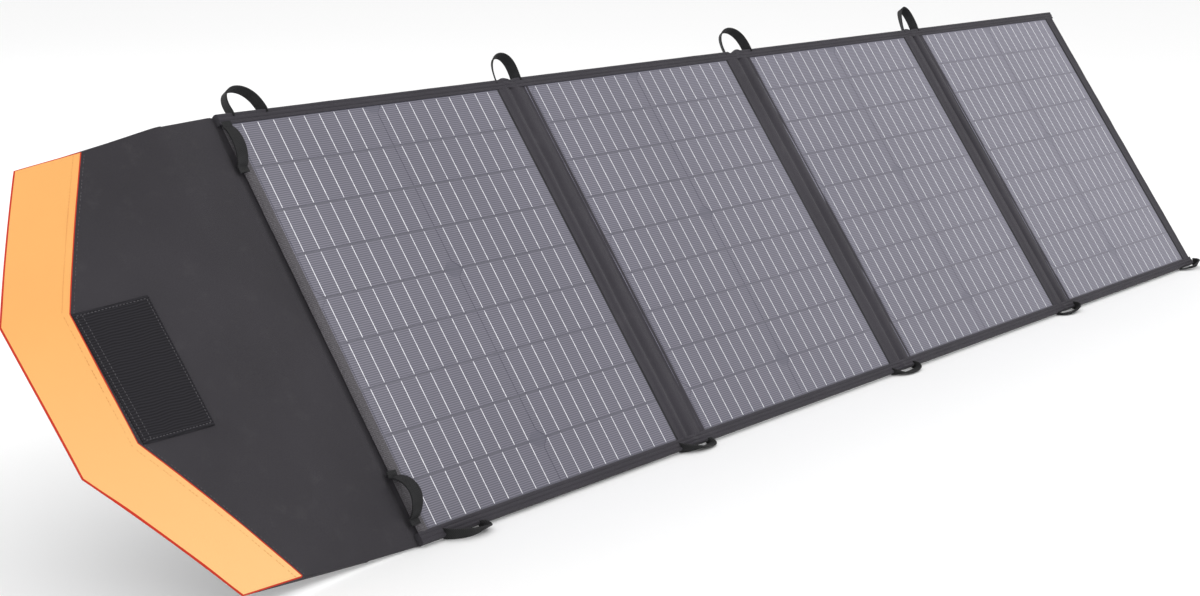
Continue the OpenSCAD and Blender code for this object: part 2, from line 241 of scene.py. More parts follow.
def fabric(name, colour, pitch=0.0009, depth=0.00012, grain=0.12, roughness=0.88, sheen=0.06,
           speckle=0.0, attribute="flat", wear=0.05, lower_colour=None):
    """Plain weave with yarn relief and painted shade between the yarns, uneven dye, faint dust and sheen; the
    last argument, when given, is its colour lower down.
    """
    s = Shader(name)
    vector, x, y = s.coordinates(attribute)
    warp = stripe(s, x, pitch)
    weft = stripe(s, y, pitch)
    over = s.math("GREATER_THAN", s.math("MULTIPLY", s.math("SUBTRACT", warp, 0.5),
                                         s.math("SUBTRACT", weft, 0.5)), 0.0)
    yarn = s.math("ADD", s.math("MULTIPLY", over, warp),
                  s.math("MULTIPLY", s.math("SUBTRACT", 1.0, over), weft))
    cloud = s.noise(vector, 9.0, 3.0)
    fleck = s.noise(vector, 900.0, 1.0)
    base = s.mix(s.remap(cloud, 0.3, 0.7, 0.0, 1.0), scaled(colour, 1 - grain), scaled(colour, 1 + grain))
    # Blends towards the given colour lower down, paler and yellower for the orange band.
    if lower_colour:
        base = s.mix(s.remap(y, *LOWER_COLOUR_SPAN, 1.0, 0.0), base, lower_colour)
    # Painted shade: a darker colour for the gaps between the yarns, mixed in where the weave's relief is low.
    between = scaled(lower_colour, 0.6) if lower_colour else scaled(colour, 0.35)
    shade = s.mix(s.remap(yarn, 0.0, 1.0, 0.55, 0.0), base, between)
    if speckle:
        shade = s.mix(s.remap(fleck, 0.5, 0.7, 0.0, speckle), shade, scaled(colour, 2.0))
    dust = s.remap(s.noise(vector, 45.0, 5.0, 0.7), 0.55, 0.85, 0.0, wear)
    s.set(Base_Color=s.mix(dust, shade, rgb(0.32, 0.3, 0.3)), Metallic=0.0)
    s.set(Roughness=s.remap(fleck, 0.3, 0.7, roughness - 0.08, min(1.0, roughness + 0.08)))
    s.set(Sheen_Weight=sheen, Sheen_Roughness=0.4, Specular_IOR_Level=0.25)
    soft = s.bump(s.noise(vector, 60.0, 3.0), 0.0012, 0.35)
    s.set(Normal=s.bump(yarn, depth, 0.9, soft))
    return s.material


def webbing_material(name, colour):
    """Ribbed strap: chevron ribs across, with painted highlight on their crests and painted shade in the
    grooves between them.
    """
    s = Shader(name)
    vector, along, across = s.coordinates("flat")
    slant = s.math("ADD", along, s.math("MULTIPLY", s.math("PINGPONG", across, 0.0025), 0.9))
    rib = stripe(s, slant, 0.0016)
    cloud = s.noise(vector, 120.0, 2.0)
    # Painted light and shade on the ribs: crests lighter, grooves darker.
    base = s.mix(s.remap(rib, 0.1, 0.9, 0.0, 1.0), scaled(colour, 0.5), scaled(colour, 1.35))
    s.set(Base_Color=s.mix(s.remap(cloud, 0.4, 0.7, 0.0, 0.25), base, scaled(colour, 2.2)))
    s.set(Roughness=s.remap(rib, 0.0, 1.0, 0.85, 0.7), Specular_IOR_Level=0.3)
    s.set(Normal=s.bump(rib, 0.0003, 0.8))
    return s.material


def hook_material(name):
    """Short stiff pile with combed rows, with painted light and shade along the rows."""
    s = Shader(name)
    vector, _, y = s.coordinates("flat")
    wobble = s.math("MULTIPLY", s.noise(vector, 60.0, 2.0), 0.003)
    rows = stripe(s, s.math("ADD", y, wobble), 0.0024)
    pile = s.noise(vector, 1600.0, 2.0)
    mixed = s.math("MULTIPLY", s.math("ADD", rows, pile), 0.5)
    # Painted light and shade along the combed rows, with a fine fleck of the pile mixed in.
    s.set(Base_Color=s.mix(mixed, rgb(0.004, 0.004, 0.005), rgb(0.03, 0.028, 0.034)))
    s.set(Roughness=s.remap(pile, 0.3, 0.7, 0.8, 0.95), Specular_IOR_Level=0.2)
    s.set(Normal=s.bump(mixed, 0.0005, 0.7))
    return s.material


def cell_material(name, row_gap=False):
    """Silicon under a textured film: close finger lines on violet grey, thin dark gaps between rows."""
    s = Shader(name)
    vector, x, y = s.coordinates(None)
    finger = line(s, y, 0.00205, 0.0012)
    cloud = s.noise(vector, 5.0, 2.0)
    fine = s.noise(vector, 700.0, 1.0)
    pale = s.mix(s.remap(cloud, 0.35, 0.65, 0.0, 1.0), rgb(0.103, 0.097, 0.133), rgb(0.125, 0.118, 0.156))
    dark = s.mix(s.remap(cloud, 0.35, 0.65, 0.0, 1.0), rgb(0.01, 0.009, 0.018), rgb(0.015, 0.014, 0.025))
    look = s.mix(finger, pale, dark)
    look = s.mix(s.remap(fine, 0.3, 0.7, 0.0, 0.12), look, rgb(0.14, 0.13, 0.175))
    if row_gap:
        near = line(s, s.math("ADD", y, -EDGE * MM), ROW_PITCH * MM, 0.0026)
        look = s.mix(s.math("MULTIPLY", near, 0.75), look, rgb(0.022, 0.021, 0.034))
        wafer = line(s, s.math("ADD", y, -WINDOWS[1][3] * MM), 4 * ROW_PITCH * MM, 0.016)
        middle = (WINDOWS[1][0] + WINDOWS[1][1]) / 2
        between = line(s, s.math("ADD", x, -middle * MM), (WINDOWS[2][0] - WINDOWS[1][0]) * MM, 0.03)
        look = s.mix(s.math("MULTIPLY", s.math("MULTIPLY", wafer, between), 0.55), look,
                     rgb(0.012, 0.012, 0.03))
    s.set(Base_Color=look)
    s.set(Roughness=s.remap(fine, 0.3, 0.7, 0.4, 0.58), Coat_Weight=0.8, Coat_Roughness=0.25,
          Specular_Tint=rgb(0.86, 0.84, 1.0), Sheen_Weight=0.5, Sheen_Roughness=0.5,
          Sheen_Tint=rgb(0.8, 0.78, 1.0))
    s.set(Normal=s.bump(fine, 0.0002, 0.4))
    return s.material


def ribbon_material(name):
    """Tinned copper ribbon under film: bright, slightly broken."""
    s = Shader(name)
    vector = s.coordinates("flat")[0]
    glint = s.noise(vector, 260.0, 3.0, 0.7)
    bright = s.remap(glint, 0.35, 0.65, 0.0, 1.0)
    s.set(Base_Color=s.mix(bright, rgb(0.62, 0.62, 0.68), rgb(0.97, 0.97, 1.0)))
    s.set(Metallic=0.25, Roughness=0.42, Coat_Weight=0.4, Coat_Roughness=0.25)
    s.set(Normal=s.bump(glint, 0.0002, 0.4))
    return s.material


def thread_material(name, colour):
    """Twisted thread, with painted light and shade along its plies."""
    s = Shader(name)
    _, along, across = s.coordinates("flat")
    ply = stripe(s, s.math("ADD", along, across), 0.0006)
    # Painted light and shade: plies lighter on their crests, darker between them.
    s.set(Base_Color=s.mix(ply, scaled(colour, 0.6), scaled(colour, 1.3)), Roughness=0.6)
    s.set(Normal=s.bump(ply, 0.0001, 0.6))
    return s.material


def plastic(name, colour, roughness=0.5, attribute="flat"):
    """Moulded plastic: spark-eroded grain and slight gloss change."""
    s = Shader(name)
    vector = s.coordinates(attribute)[0]
    grain = s.noise(vector, 1500.0, 2.0)
    patch = s.noise(vector, 30.0, 3.0)
    s.set(Base_Color=s.mix(patch, scaled(colour, 0.85), scaled(colour, 1.2)))
    s.set(Roughness=s.remap(patch, 0.3, 0.7, roughness - 0.08, roughness + 0.08))
    s.set(Normal=s.bump(grain, 0.00008, 0.5))
    return s.material


def metal(name, colour, attribute="flat"):
    """Brushed plating."""
    s = Shader(name)
    vector = s.coordinates(attribute)[0]
    brushed = s.noise(vector, 800.0, 3.0)
    s.set(Base_Color=s.mix(brushed, scaled(colour, 0.8), colour), Metallic=1.0)
    s.set(Roughness=s.remap(brushed, 0.3, 0.7, 0.25, 0.45))
    return s.material


CHARCOAL = rgb(0.045, 0.0415, 0.0485)
BLACK = rgb(0.022, 0.022, 0.024)
NICKEL = rgb(0.6, 0.6, 0.62)
# Where the band's colour changes from its lower colour to full, in metres from mid height
LOWER_COLOUR_SPAN = (-0.19, 0.06)
MAT = {
    "flap": fabric("flap_cloth", CHARCOAL, pitch=0.0008),
    "back": fabric("back_cloth", rgb(0.062, 0.058, 0.066), pitch=0.0014, depth=0.0003, grain=0.18),
    "border": fabric("border_cloth", rgb(0.052, 0.048, 0.058), pitch=0.0009, grain=0.1),
    "grainy": fabric("grainy_cloth", rgb(0.1, 0.094, 0.103), pitch=0.0016, depth=0.0003, speckle=0.5),
    "orange": fabric("orange_cloth", rgb(1.0, 0.465, 0.132), pitch=0.0008, depth=0.00008, grain=0.03,
                     sheen=0.1, wear=0.0, lower_colour=rgb(1.0, 0.6, 0.24)),
    "piping": fabric("piping_cloth", rgb(0.75, 0.045, 0.02), pitch=0.0007, grain=0.05, wear=0.0),
    "webbing": webbing_material("webbing", rgb(0.014, 0.014, 0.015)),
    "hook": hook_material("hook_tape"),
    "cell": cell_material("cell_silicon"),
    "laminate": cell_material("laminate_sheet", row_gap=True),
    "ribbon": ribbon_material("tinned_ribbon"),
    "thread": thread_material("dark_thread", rgb(0.09, 0.085, 0.095)),
    "pale_thread": thread_material("orange_thread", rgb(0.9, 0.36, 0.1)),
    "black_plastic": plastic("black_plastic", BLACK),
    "cad_plastic": plastic("cad_plastic", BLACK, attribute=None),
    "board": plastic("board_plastic", rgb(0.02, 0.02, 0.02), 0.7, attribute=None),
    "rubber": plastic("rubber", rgb(0.015, 0.015, 0.016), 0.8),
    "metal": metal("nickel", NICKEL),
    "cad_metal": metal("cad_nickel", NICKEL, attribute=None),
    "lens": plastic("status_lens", rgb(0.02, 0.35, 0.06), 0.25),
}

# ---------------------------------------------------------------- mesh helpers

SHARP_ANGLE = math.radians(42)


def dress(node, material):
    """Gives a CAD node that stays in sight its material."""
    slots = frame["nodes"][node].data.materials
    slots.clear()
    slots.append(MAT[material])


def make_piece(name, points, faces, flats, material, smooth=True):
    """A mesh object from points in the row frame, with its rest coordinates stored."""
    mesh = bpy.data.meshes.new(name)
    mesh.from_pydata([tuple(p) for p in points], [], faces)
    attribute = mesh.attributes.new("flat", "FLOAT_VECTOR", "POINT")
    attribute.data.foreach_set("vector", [c for f in flats for c in f])
    mesh.materials.append(MAT[material])
    if smooth:
        mesh.shade_smooth()
        mesh.set_sharp_from_angle(angle=SHARP_ANGLE)
    mesh.update()
    obj = bpy.data.objects.new(name, mesh)
    bpy.context.scene.collection.objects.link(obj)
    return obj


def steps(a, b, count):
    """Evenly spaced numbers from a to b, count gaps between them."""
    return [a + (b - a) * i / count for i in range(count + 1)]


def bell(distance, reach):
    """1 at no distance, falling off smoothly around reach."""
    return math.exp(-(distance / reach) ** 2)


def wander(x, y, z):
    """Smooth noise around 0."""
    return noise.noise(Vector((x, y, z)))


def rectangle(u0, v0, u1, v1, n):
    """Closed row frame route around a rectangle of panel coordinates."""
    return [at(u, v, n) for u, v in ((u0, v0), (u1, v0), (u1, v1), (u0, v1), (u0, v0))]


def skin(rings, size, base=0, turned=False):
    """Faces over rings of size points each, capped at both ends; turned for rings the other way round."""
    last = base + (rings - 1) * size
    faces = []
    for first in range(base, last, size):
        for j in range(size):
            a, b = first + j, first + (j + 1) % size
            faces.append([a, a + size, b + size, b] if turned else [a, b, b + size, a + size])
    start, end = list(range(base, base + size)), list(range(last, last + size))
    return faces + ([start, end[::-1]] if turned else [start[::-1], end])


def layers(index, front, back, tall, wide):
    """Quads of the front and the back layer of a grid of points, found by layer, row and column."""
    turns = (front, ((0, 0), (0, 1), (1, 1), (1, 0))), (back, ((0, 0), (1, 0), (1, 1), (0, 1)))
    return [[index[layer, i + down, j + over] for down, over in corners]
            for i in range(tall) for j in range(wide) for layer, corners in turns]


def thick_grid(name, rows, thickness, material, flat=None):
    """Closed cloth from a grid of (u, v, n) points, thick towards the back, with round edges."""
    tall, wide = len(rows), len(rows[0])
    points, flats, index = [], [], {}

    def normal(i, j):
        a = Vector(rows[min(i + 1, tall - 1)][j]) - Vector(rows[max(i - 1, 0)][j])
        b = Vector(rows[i][min(j + 1, wide - 1)]) - Vector(rows[i][max(j - 1, 0)])
        found = b.cross(a)
        return found.normalized() if found.length > 1e-9 else Vector((0, 0, 1))

    def put(key, p, level):
        index[key] = len(points)
        points.append(at(*p))
        u, v = flat[key[1]][key[2]] if flat else (p[0], p[1])
        flats.append((u * MM, v * MM, level * MM))

    for i in range(tall):
        for j in range(wide):
            top = Vector(rows[i][j])
            down = normal(i, j) * thickness
            put(("top", i, j), top, 0)
            put(("low", i, j), top - down, -thickness)
    border = [(0, j) for j in range(wide)] + [(i, wide - 1) for i in range(1, tall)]
    border += [(tall - 1, j) for j in range(wide - 2, -1, -1)] + [(i, 0) for i in range(tall - 2, 0, -1)]
    for i, j in border:
        top, inner = Vector(rows[i][j]), Vector(rows[min(max(i, 1), tall - 2)][min(max(j, 1), wide - 2)])
        away = (top - inner).normalized() if (top - inner).length > 1e-9 else Vector()
        put(("mid", i, j), top - normal(i, j) * thickness / 2 + away * thickness * 0.45, -thickness / 2)
    faces = layers(index, "top", "low", tall - 1, wide - 1)
    for k, here in enumerate(border):
        there = border[(k + 1) % len(border)]
        for a, b in (("mid", "top"), ("low", "mid")):
            faces.append([index[(a, *here)], index[(a, *there)], index[(b, *there)], index[(b, *here)]])
    return make_piece(name, points, faces, flats, material)


def cloth_patch(name, us, vs, height, thickness, material):
    """Cloth over a rectangle of panel coordinates; height(u, v) is its front."""
    return thick_grid(name, [[(u, v, height(u, v)) for u in us] for v in vs], thickness, material)


def sweep(name, centres, sides, width, thickness, material):
    """Strap along row frame centres; sides are its width directions. Rounded edges."""
    profile = [(-0.5, -0.25), (-0.5, 0.25), (-0.47, 0.5), (-0.2, 0.5), (0.2, 0.5), (0.47, 0.5),
               (0.5, 0.25), (0.5, -0.25), (0.47, -0.5), (0.2, -0.5), (-0.2, -0.5), (-0.47, -0.5)]
    points, flats = [], []
    run = 0.0
    count = len(centres)
    for i, centre in enumerate(centres):
        before, after = centres[max(i - 1, 0)], centres[min(i + 1, count - 1)]
        tangent = (after - before).normalized()
        if i:
            run += (centre - centres[i - 1]).length
        side = sides[i] - tangent * sides[i].dot(tangent)
        side.normalize()
        normal = side.cross(tangent).normalized()
        for across, through in profile:
            points.append(centre + side * across * width * MM + normal * through * thickness * MM)
            flats.append((run, across * width * MM, through * thickness * MM))
    return make_piece(name, points, skin(count, len(profile)), flats, material)


def tube(name, centres, radius, material, sides=8):
    """Round cord along row frame centres, radius in millimetres."""
    points, flats = [], []
    run = 0.0
    count = len(centres)
    for i, centre in enumerate(centres):
        tangent = (centres[min(i + 1, count - 1)] - centres[max(i - 1, 0)]).normalized()
        if i:
            run += (centre - centres[i - 1]).length
        side = tangent.cross(OUT).normalized()
        other = side.cross(tangent)
        for j in range(sides):
            angle = 2 * math.pi * j / sides
            points.append(centre + (side * math.cos(angle) + other * math.sin(angle)) * radius * MM)
            flats.append((run, angle * radius * MM, 0))
    return make_piece(name, points, skin(count, sides, turned=True), flats, material)


def stitch_mesh(name, runs, material, pitch=3.2, length=2.2, radius=0.32):
    """Thread stitches along runs of (row frame points, surface normal)."""
    points, flats, faces = [], [], []
    for route, normal in runs:
        for a, b in zip(route, route[1:]):
            reach = (b - a).length / MM
            along = (b - a).normalized()
            side = along.cross(normal).normalized()
            for k in range(max(1, int(reach / pitch))):
                start = a + along * (k * pitch + (pitch - length) / 2) * MM
                base = len(points)
                for x, y, z in ((0, 0, -0.3), (0.25, 1, 0), (0.25, 0, 1), (0.25, -1, 0),
                                (0.75, 1, 0), (0.75, 0, 1), (0.75, -1, 0), (1, 0, -0.3)):
                    points.append(start + (along * x * length + side * y * radius
                                           + normal * z * radius) * MM)
                    flats.append((x * length * MM + k * pitch * MM, y * radius * MM, z * radius * MM))
                quads = [(0, 1, 2), (0, 2, 3), (0, 3, 1), (1, 4, 5, 2), (2, 5, 6, 3), (3, 6, 4, 1),
                         (7, 5, 4), (7, 6, 5), (7, 4, 6)]
                faces += [[base + q for q in quad] for quad in quads]
    return make_piece(name, points, faces, flats, material)


def finish_piece(obj, body, slot, *replaced):
    """Rides a body and stands for CAD nodes; slot is not used."""
    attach(obj, body)
    if replaced:
        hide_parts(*replaced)


def finish_blend(obj, bodies, ends, slot, *replaced):
    """Bakes its placement into its mesh and stands for CAD nodes; bodies and slot are not used."""
    tuple(ends[0])
    tuple(ends[1])
    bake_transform(obj)
    if replaced:
        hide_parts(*replaced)


def ripple(u, v, size=0.25, scale=0.02):
    """Slight unevenness of stretched cloth, in millimetres."""
    return size * wander(u * scale, v * scale, 3.7)


# ---------------------------------------------------------------- front cloth

# Cloth thickness
CLOTH = 0.9
HINGES = {k: (WINDOWS[k][1] + WINDOWS[k + 1][0]) / 2 for k in (1, 2, 3)}
GAP = WINDOWS[2][0] - WINDOWS[1][1]
SOFT_HALF = GAP / 2 - EDGE
CLOTH_TOP = FRONT
BIND_TOP = FRONT + 0.55
EDGE_GROOVE = 2.0


def smooth(t):
    """Eased 0 to 1."""
    t = min(max(t, 0.0), 1.0)
    return t * t * (3 - 2 * t)


def binding_profile(inner):
    """Cross-section of an edge bound up to inner: (distance in from the outer edge, n), closed."""
    return [
        (inner - 0.2, CELL_TOP + 0.1), (inner, CLOTH_TOP - 0.15), (inner - 0.7, CLOTH_TOP + 0.15),
        (inner - 2.6, CLOTH_TOP + 0.1), (inner - 3.1, CLOTH_TOP - 0.35), (inner - 3.7, CLOTH_TOP + 0.1),
        (inner - 4.6, BIND_TOP), (inner - 6.2, BIND_TOP - 0.05), (inner - 6.9, CLOTH_TOP - 0.1),
        (inner - 7.5, CLOTH_TOP + 0.1), (2.2, BIND_TOP), (1.0, BIND_TOP - 0.5), (0.2, CLOTH_TOP - 1.6),
        (0.0, CLOTH_TOP / 2), (0.2, 1.4), (0.9, 0.4), (2.2, 0.0), (4.4, -0.1), (5.0, 0.35),
        (inner - 3, 0.4), (inner - 0.2, 0.5),
    ]


# Points of that cross-section that ripple, that rise at a fold, and that move with the outer edge
RIPPLED, RAISED, OUTERMOST = range(5, 13), range(3, 13), range(8, 18)


def binding(name, u0, u1, top, fold=None):
    """Bound edge along the top or the bottom of a panel, gathered where it crosses a fold."""
    profile = binding_profile(EDGE)
    us = steps(u0, u1, max(14, int((u1 - u0) / 6)))
    points, flats, faces = [], [], []
    girth = [0.0]
    for a, b in zip(profile, profile[1:]):
        girth.append(girth[-1] + math.dist(a, b))
    for u in us:
        for k, (inward, n) in enumerate(profile):
            lift = ripple(u, 7 * k, 0.22, 0.045) if k in RIPPLED else 0.0
            dip = 0.0
            if fold is not None:
                middle = HINGES[fold]
                shifts = FOLD_TOPS[fold] if top else FOLD_LOWS
                move = sum(rise * bell(u - middle - place, reach) for place, rise, reach in shifts)
                lift += (0.6 if top else 1.0) * bell(u - middle, 5) * (1 if k in RAISED else 0)
                dip = -move * (1 if k in OUTERMOST else 0.35)
            v = HEIGHT - inward - dip if top else inward + dip
            points.append(at(u, v, n + lift))
            flats.append((u * MM, girth[k] * MM, 0))
    size = len(profile)
    for i in range(len(us) - 1):
        for j in range(size):
            a, b = i * size + j, i * size + (j + 1) % size
            quad = [a, a + size, b + size, b]
            faces.append(quad if top else quad[::-1])
    last = (len(us) - 1) * size
    start, end = list(range(size)), list(range(last, last + size))
    faces += [start, end[::-1]] if top else [start[::-1], end]
    return make_piece(name, points, faces, flats, "border")


# Ridges and creases along each folding strip: distance from the fold line, height and reach
FOLD_RELIEF = {
    1: ((-10.5, 1.6, 2.8), (-2.0, -2.4, 3.2), (6.0, 0.8, 3.4), (17.0, -1.6, 3.6)),
    2: ((-6.0, 0.8, 6.0), (4.0, -2.8, 4.0), (13.0, 1.0, 5.0), (20.0, -1.0, 2.5)),
    3: ((-9.0, 1.0, 4.5), (3.5, -3.4, 2.4), (11.0, 0.9, 4.0), (18.5, -1.4, 3.0)),
}


def hinge_height(k):
    """Front of the folding strip after panel k."""
    middle = HINGES[k]

    def height(u, v):
        sway = 1.2 * wander(v * 0.011, k * 3.1, 0.0)
        relief = sum(rise * (0.8 + 0.4 * wander(v * 0.013, place, k)) *
                     bell(u - middle - place - sway, reach) for place, rise, reach in FOLD_RELIEF[k])
        return min(CLOTH_TOP - 0.35 + relief + ripple(u * 2, v, 0.35, 0.03), FRONT + 0.85)
    return height


# How a top binding rises and dips where it crosses a fold
FOLD_TOPS = {
    1: ((-7.0, 1.5, 4.0), (4.0, -2.2, 4.0)),
    2: ((-6.0, -2.4, 5.0), (7.0, 1.6, 4.5)),
    3: ((-7.0, 1.2, 4.0), (3.0, -2.0, 4.0)),
}
# The same for every low binding
FOLD_LOWS = ((0.0, -0.6, 5.0),)

# Half width of the front cloth given as each folding strip's ends: little where it would end up inside the
# fold. Nothing turns with it.
FRONT_TURN = {1: 4.0, 2: SOFT_HALF, 3: 4.0}


def fold_ends(k, half=SOFT_HALF):
    """Row frame points half a width either side of the fold after panel k, at mid height on the front."""
    return at(HINGES[k] - half, MID, FRONT), at(HINGES[k] + half, MID, FRONT)


def front_cloth():
    """Bound edges, folding strips with their backs, and the two end borders."""
    low, high = WINDOWS[1][2], WINDOWS[1][3]
    tall = steps(low - 1, high + 1, 110)
    for k in PANELS:
        left, right = WINDOWS[k][0], WINDOWS[k][1]
        start = PANEL_LO[0] if k == 1 else left - EDGE
        end = ROW_END if k == 4 else right + EDGE
        for top in (True, False):
            bound = binding(f"binding_{'top' if top else 'low'}_{k}", start, end, top)
            finish_piece(bound, f"panel_{k}", "border_fabric", *([f"frame_{k}"] if top else []))
    for k, middle in HINGES.items():
        bodies = (f"panel_{k}", f"panel_{k + 1}")
        us = steps(middle - GAP / 2 + EDGE_GROOVE, middle + GAP / 2 + 1.0, 40)
        strip = cloth_patch(f"fold_cloth_{k}", us, tall, hinge_height(k), CLOTH, "border")
        finish_blend(strip, bodies, fold_ends(k, FRONT_TURN[k]), "border_fabric", f"hinge_{k}{k + 1}")
        for top in (True, False):
            bound = binding(f"fold_binding_{'top' if top else 'low'}_{k}", middle - SOFT_HALF,
                            middle + SOFT_HALF, top, fold=k)
            finish_blend(bound, bodies, fold_ends(k), "border_fabric")
        back = cloth_patch(f"fold_back_{k}", steps(middle - SOFT_HALF - 1, middle + SOFT_HALF + 1, 16),
                           steps(3, HEIGHT - 3, 80),
                           lambda u, v, m=middle: 1.0 + 0.6 * bell(u - m, 4), CLOTH, "back")
        finish_blend(back, bodies, fold_ends(k), "cover_fabric")
    side = cloth_patch("left_border", steps(PANEL_LO[0] + 2.2, WINDOWS[1][0] + 0.6, 12), tall,
                       lambda u, v: CLOTH_TOP - 0.1 - 1.8 * bell(u - 2.2, 1.6) + ripple(u, v, 0.3, 0.06),
                       CLOTH, "grainy")
    finish_piece(side, "panel_1", "border_fabric")
    side = cloth_patch("right_border", steps(WINDOWS[4][1] + EDGE_GROOVE, ROW_END - 0.6, 22), tall,
                       lambda u, v: CLOTH_TOP - 0.1 - 2.5 * bell(ROW_END - u, 2.0)
                       + 0.5 * bell(ROW_END - u - 6, 2.5) + ripple(u, v, 0.3, 0.06), CLOTH, "border")
    finish_piece(side, "panel_4", "border_fabric")


# ---------------------------------------------------------------- cells

BUSBARS = 9
COLUMNS = 2
RIBBON_W = 0.8
RIBBON_T = 0.16
RIBBON_GAP = 0.5


def dress_cells():
    """Materials of each panel's CAD cells, laminate and board."""
    for k in PANELS:
        for kind, material in (("cells", "cell"), ("laminate", "laminate"), ("board", "board")):
            dress(f"{kind}_{k}", material)


def ribbons(k):
    """Ribbons on every cell, broken at each row gap."""
    lo, hi = span(f"cells_{k}")
    cell_w = (hi[0] - lo[0] - COLUMN_GAP) / COLUMNS
    points, flats, faces = [], [], []
    for column in range(COLUMNS):
        left = lo[0] + column * (cell_w + COLUMN_GAP)
        for bar in range(BUSBARS):
            u = left + cell_w * (bar + 0.5) / BUSBARS
            for row in range(ROWS):
                v0 = lo[1] + row * ROW_PITCH + RIBBON_GAP / 2
                v1 = lo[1] + (row + 1) * ROW_PITCH - ROW_GAP - RIBBON_GAP / 2
                base = len(points)
                cuts = (v0, v0 + 0.8, v1 - 0.8, v1)
                for v in cuts:
                    end = v in (v0, v1)
                    for du, dn in ((-0.5, 0), (-0.3, 0.8), (0.3, 0.8), (0.5, 0)):
                        width = RIBBON_W * (0.6 if end else 1.0)
                        n = CELL_TOP + (0.01 if end else RIBBON_T * dn + 0.01)
                        points.append(at(u + du * width, v, n))
                        flats.append((u * MM + du * width * MM, v * MM, 0))
                faces += skin(len(cuts), 4, base)
    ribbon = make_piece(f"ribbons_{k}", points, faces, flats, "ribbon", smooth=False)
    finish_piece(ribbon, f"panel_{k}", "metal")


def edge_shadow_strip(k):
    """Painted shadow: a black strip along the right side of a window, in the groove where the laminate's
    raised edge casts shade on the cloth.
    """
    right = WINDOWS[k][1]
    strip = cloth_patch(f"laminate_edge_{k}", steps(right + 0.1, right + 2.6, 3),
                        steps(WINDOWS[k][2], WINDOWS[k][3], 60),
                        lambda u, v: LAMINATE_TOP + 0.1, 0.5, "rubber")
    finish_piece(strip, f"panel_{k}", "board")


# ---------------------------------------------------------------- flap

FLAP_LO, FLAP_HI = span("flap_piping")
FLAP_DROOP = math.radians(2)
GUSSET = -span("gusset")[0][0]
FLAP_HALF = (FLAP_HI[1] - FLAP_LO[1]) / 2
FLAP_EDGE = FLAP_HALF + 3.3
FLAP_TOP = 3.0
LEAN = math.radians(3.13)
TWIST = math.radians(10.0)
CUP = math.radians(2.4)
BEND_RUN = 12.0
OUTER = [(196.4, -196.4), (277.0, -73.4), (271.8, 64.0), (194.3, 195.7)]
INNER = [(132.3, -197.0), (217.4, -58.0), (213.4, 61.0), (136.0, 197.3)]
PATCH_NEAR, PATCH_FAR = 143.0, 213.0
PATCH_HALF = 60.0


def flap_point(s, w, n):
    """Panel coordinates of a flap point: s from the seam, w from mid height, n above its back."""
    share = w / 200
    lean = LEAN + TWIST * share + CUP * share * share
    lean = lean if abs(lean) > 1e-4 else 1e-4
    stiff = max(0.0, s - GUSSET)
    bent = min(stiff, BEND_RUN)
    turn = lean * bent / BEND_RUN
    out = BEND_RUN / lean * math.sin(turn) + (stiff - bent) * math.cos(lean)
    back = BEND_RUN / lean * (1 - math.cos(turn)) + (stiff - bent) * math.sin(lean)
    wave = 0.6 * smooth(stiff / 60) * math.sin(s / 47.0) * math.sin(w / 83.0 + 1.0)
    groove = 2.0 * math.exp(-(s / 3.2) ** 2)
    return (-min(s, GUSSET) - out, MID + w, n - back + wave - groove)


FLAP_NORMAL = (OUT * math.cos(FLAP_DROOP) - ALONG * math.sin(FLAP_DROOP)).normalized()


def finish_flap(obj, slot, *replaced):
    """Rides the flap, with a mesh of its own."""
    finish_piece(obj, "flap", slot, *replaced)
    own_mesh(obj)


def side_of(s, sign, outline):
    """Where the flap's upper or lower edge is at distance s from the seam."""
    straight, tip = (outline[3], outline[2]) if sign > 0 else (outline[0], outline[1])
    if s <= straight[0]:
        return sign * FLAP_EDGE + (straight[1] - sign * FLAP_EDGE) * s / straight[0]
    return straight[1] + (tip[1] - straight[1]) * (s - straight[0]) / (tip[0] - straight[0])


def flap_skin(name, rows, height, thickness, material):
    """Cloth over rows of (s, w) points; height(s, w) is its front above the flap's back."""
    grid = [[flap_point(s, w, height(s, w)) for s, w in row] for row in rows]
    return thick_grid(name, grid, thickness, material, [[(-s, w) for s, w in row] for row in rows])


def flap_grid(name, s0, outline, n, thickness, material, tall=90, columns=60, s1=None):
    """Cloth from distance s0 to s1, or to the outline's tip."""
    low_tip, high_tip = outline[1], outline[2]
    rows = []
    for j in range(tall + 1):
        share = j / tall
        end = s1 or low_tip[0] + (high_tip[0] - low_tip[0]) * share
        row = []
        for i in range(columns, -1, -1):
            s = s0 + (end - s0) * i / columns
            low, high = side_of(s, -1, outline), side_of(s, 1, outline)
            row.append((s, low + (high - low) * share))
        rows.append(row)
    return flap_skin(name, rows, lambda s, w: n, thickness, material)


def part_way(a, b, share):
    """Point on the line from a to b."""
    return a[0] + (b[0] - a[0]) * share, a[1] + (b[1] - a[1]) * share


def band_grid(name, inner, outer, n, thickness, material):
    """Band between two matched outlines of (s, w) points."""
    tall, across = 44, 14
    rows = []
    for (a, b), (c, d) in zip(zip(inner, inner[1:]), zip(outer, outer[1:])):
        for i in range(tall + (inner[-1] == b)):
            p, q = part_way(a, b, i / tall), part_way(c, d, i / tall)
            rows.append(list(zip(steps(q[0], p[0], across), steps(q[1], p[1], across))))
    return flap_skin(name, rows, lambda s, w: n + 0.25 * wander(s * 0.03, w * 0.03, 1.0), thickness, material)


def flap_route(outline, n, density=5.0):
    """Row frame points along an outline of (s, w) points."""
    found = []
    for a, b in zip(outline, outline[1:]):
        count = max(1, int(math.dist(a, b) / density))
        found += [at(*flap_point(*part_way(a, b, i / count), n)) for i in range(count)]
    found.append(at(*flap_point(*outline[-1], n)))
    return found


